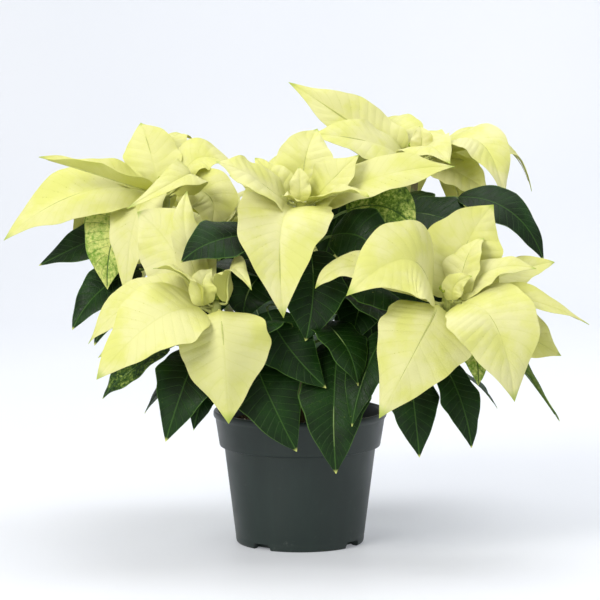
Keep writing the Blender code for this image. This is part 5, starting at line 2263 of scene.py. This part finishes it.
@dataclass
class Studio:
    """A pale sweep of paper, soft lights and the camera. Lengths are metres."""

    camera_place: tuple = (0.0, -3.2, 0.622)
    camera_aim: tuple = (0.0, 0.0, 0.232)
    lens: float = 203.7
    farthest: float = 30.0
    bend: float = 1.6              # where the paper starts to curve up, behind the plant
    curve: float = 1.2             # radius of that curve
    rise: float = 3.2
    half_width: float = 6.0
    front: tuple = (-5.0, -2.0, 0.0)
    paper: tuple = ("#D0D3D8", "#D5D7DB")
    paper_roughness: float = 0.55
    # the paper's own glow: painted light that lifts the plant's shadow
    paper_glow: str = "#F2F5FC"
    paper_glow_strength: float = 0.2
    air: str = "#F6F7FA"
    air_strength: float = 0.42
    lamps: tuple = (
        Lamp("key", (-1.6, -2.0, 1.8), (0, 0, 0.22), 1.3, 66.0, "#FFFDF8"),
        Lamp("fill", (2.2, -1.6, 1.2), (0, 0, 0.25), 1.6, 13.0, "#FBFBFF"),
        Lamp("top", (0.2, 0.3, 2.4), (0, 0.1, 0.2), 1.8, 30.0, "#FFFFFF"),
        Lamp("wall", (0.9, 0.8, 2.2), (0.5, 3.0, 1.0), 2.2, 17.0, "#FCFEFF"),
    )

    def backdrop(self) -> None:
        """A sheet of pale paper that curves up behind the plant.

        It glows a little of itself, a painted light that lifts the plant's shadow, and it is clear
        when it is seen from its back, so that the plant can be looked at from every side.
        """
        line = [(y, 0.0) for y in (*self.front, self.bend)]
        line += [(self.bend + self.curve * math.sin(a), self.curve - self.curve * math.cos(a))
                 for a in np.linspace(0.08, math.pi / 2, 20)]
        line.append((self.bend + self.curve, self.rise))
        points = [(x, y, z) for y, z in line for x in (-self.half_width, self.half_width)]
        faces = [(2 * k, 2 * k + 1, 2 * k + 3, 2 * k + 2) for k in range(len(line) - 1)]
        mesh = bpy.data.meshes.new("paper_sweep")
        mesh.from_pydata(points, [], faces)
        s = Surface("backdrop_paper")
        cloud = s.ramp(s.noise(900, 2), 0.3, 0.7)
        # Painted light: the paper emits a little glow of its own
        s.finish(s.mix(cloud, linear(self.paper[0]), linear(self.paper[1])),
                 Roughness=self.paper_roughness, Emission_Color=linear(self.paper_glow),
                 Emission_Strength=self.paper_glow_strength)
        behind = add(s.nodes, "ShaderNodeNewGeometry").outputs["Backfacing"]
        clear = add(s.nodes, "ShaderNodeBsdfTransparent")
        blend = add(s.nodes, "ShaderNodeMixShader",
                    {0: behind, 1: s.shader.outputs["BSDF"], 2: clear.outputs["BSDF"]})
        s.nodes.links.new(blend.outputs["Shader"], s.output.inputs["Surface"])
        show("paper_sweep", mesh, s.material, 80)

    @staticmethod
    def light(lamp: Lamp) -> None:
        """Add one soft square light.

        Args:
            lamp: The light.
        """
        data = bpy.data.lights.new(lamp.name, "AREA")
        data.shape = "SQUARE"
        data.size = lamp.size
        data.energy = lamp.power
        data.color = linear(lamp.tint)[:3]
        item = linked(lamp.name, data)
        item.location = lamp.place
        item.visible_camera = False
        aim = Vector(lamp.aim) - Vector(lamp.place)
        item.rotation_euler = aim.to_track_quat("-Z", "Y").to_euler()

    def build(self) -> None:
        """Set up the sweep, the lights, the sky and the camera."""
        self.backdrop()
        for lamp in self.lamps:
            self.light(lamp)
        scene = bpy.context.scene
        world = bpy.data.worlds.new("studio_air")
        world.use_nodes = True
        sky = world.node_tree.nodes["Background"]
        sky.inputs["Color"].default_value = linear(self.air)
        sky.inputs["Strength"].default_value = self.air_strength
        scene.world = world
        scene.view_settings.view_transform = "Standard"
        data = bpy.data.cameras.new("camera")
        data.lens = self.lens
        data.clip_end = self.farthest
        camera = linked("camera", data)
        camera.location = self.camera_place
        aim = Vector(self.camera_aim) - Vector(self.camera_place)
        camera.rotation_euler = aim.to_track_quat("-Z", "Y").to_euler()
        scene.camera = camera


def main() -> None:
    """Load the frame, build each sub-assembly and report it."""
    logging.basicConfig(level=logging.INFO, format="%(message)s", stream=sys.stdout)
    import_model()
    Studio().build()
    finishes = Finishes()
    arrangement = Arrangement()
    arrangement.settle()
    NurseryPot(finishes).build()
    PeatFill(finishes).build()
    for name in HUBS:
        LeafyStem(name, arrangement.leaves[name], finishes).build()
        Head(name, arrangement.bracts[name], finishes).build()
        BudCluster(name, finishes).build()


if __name__ == "__main__":
    main()
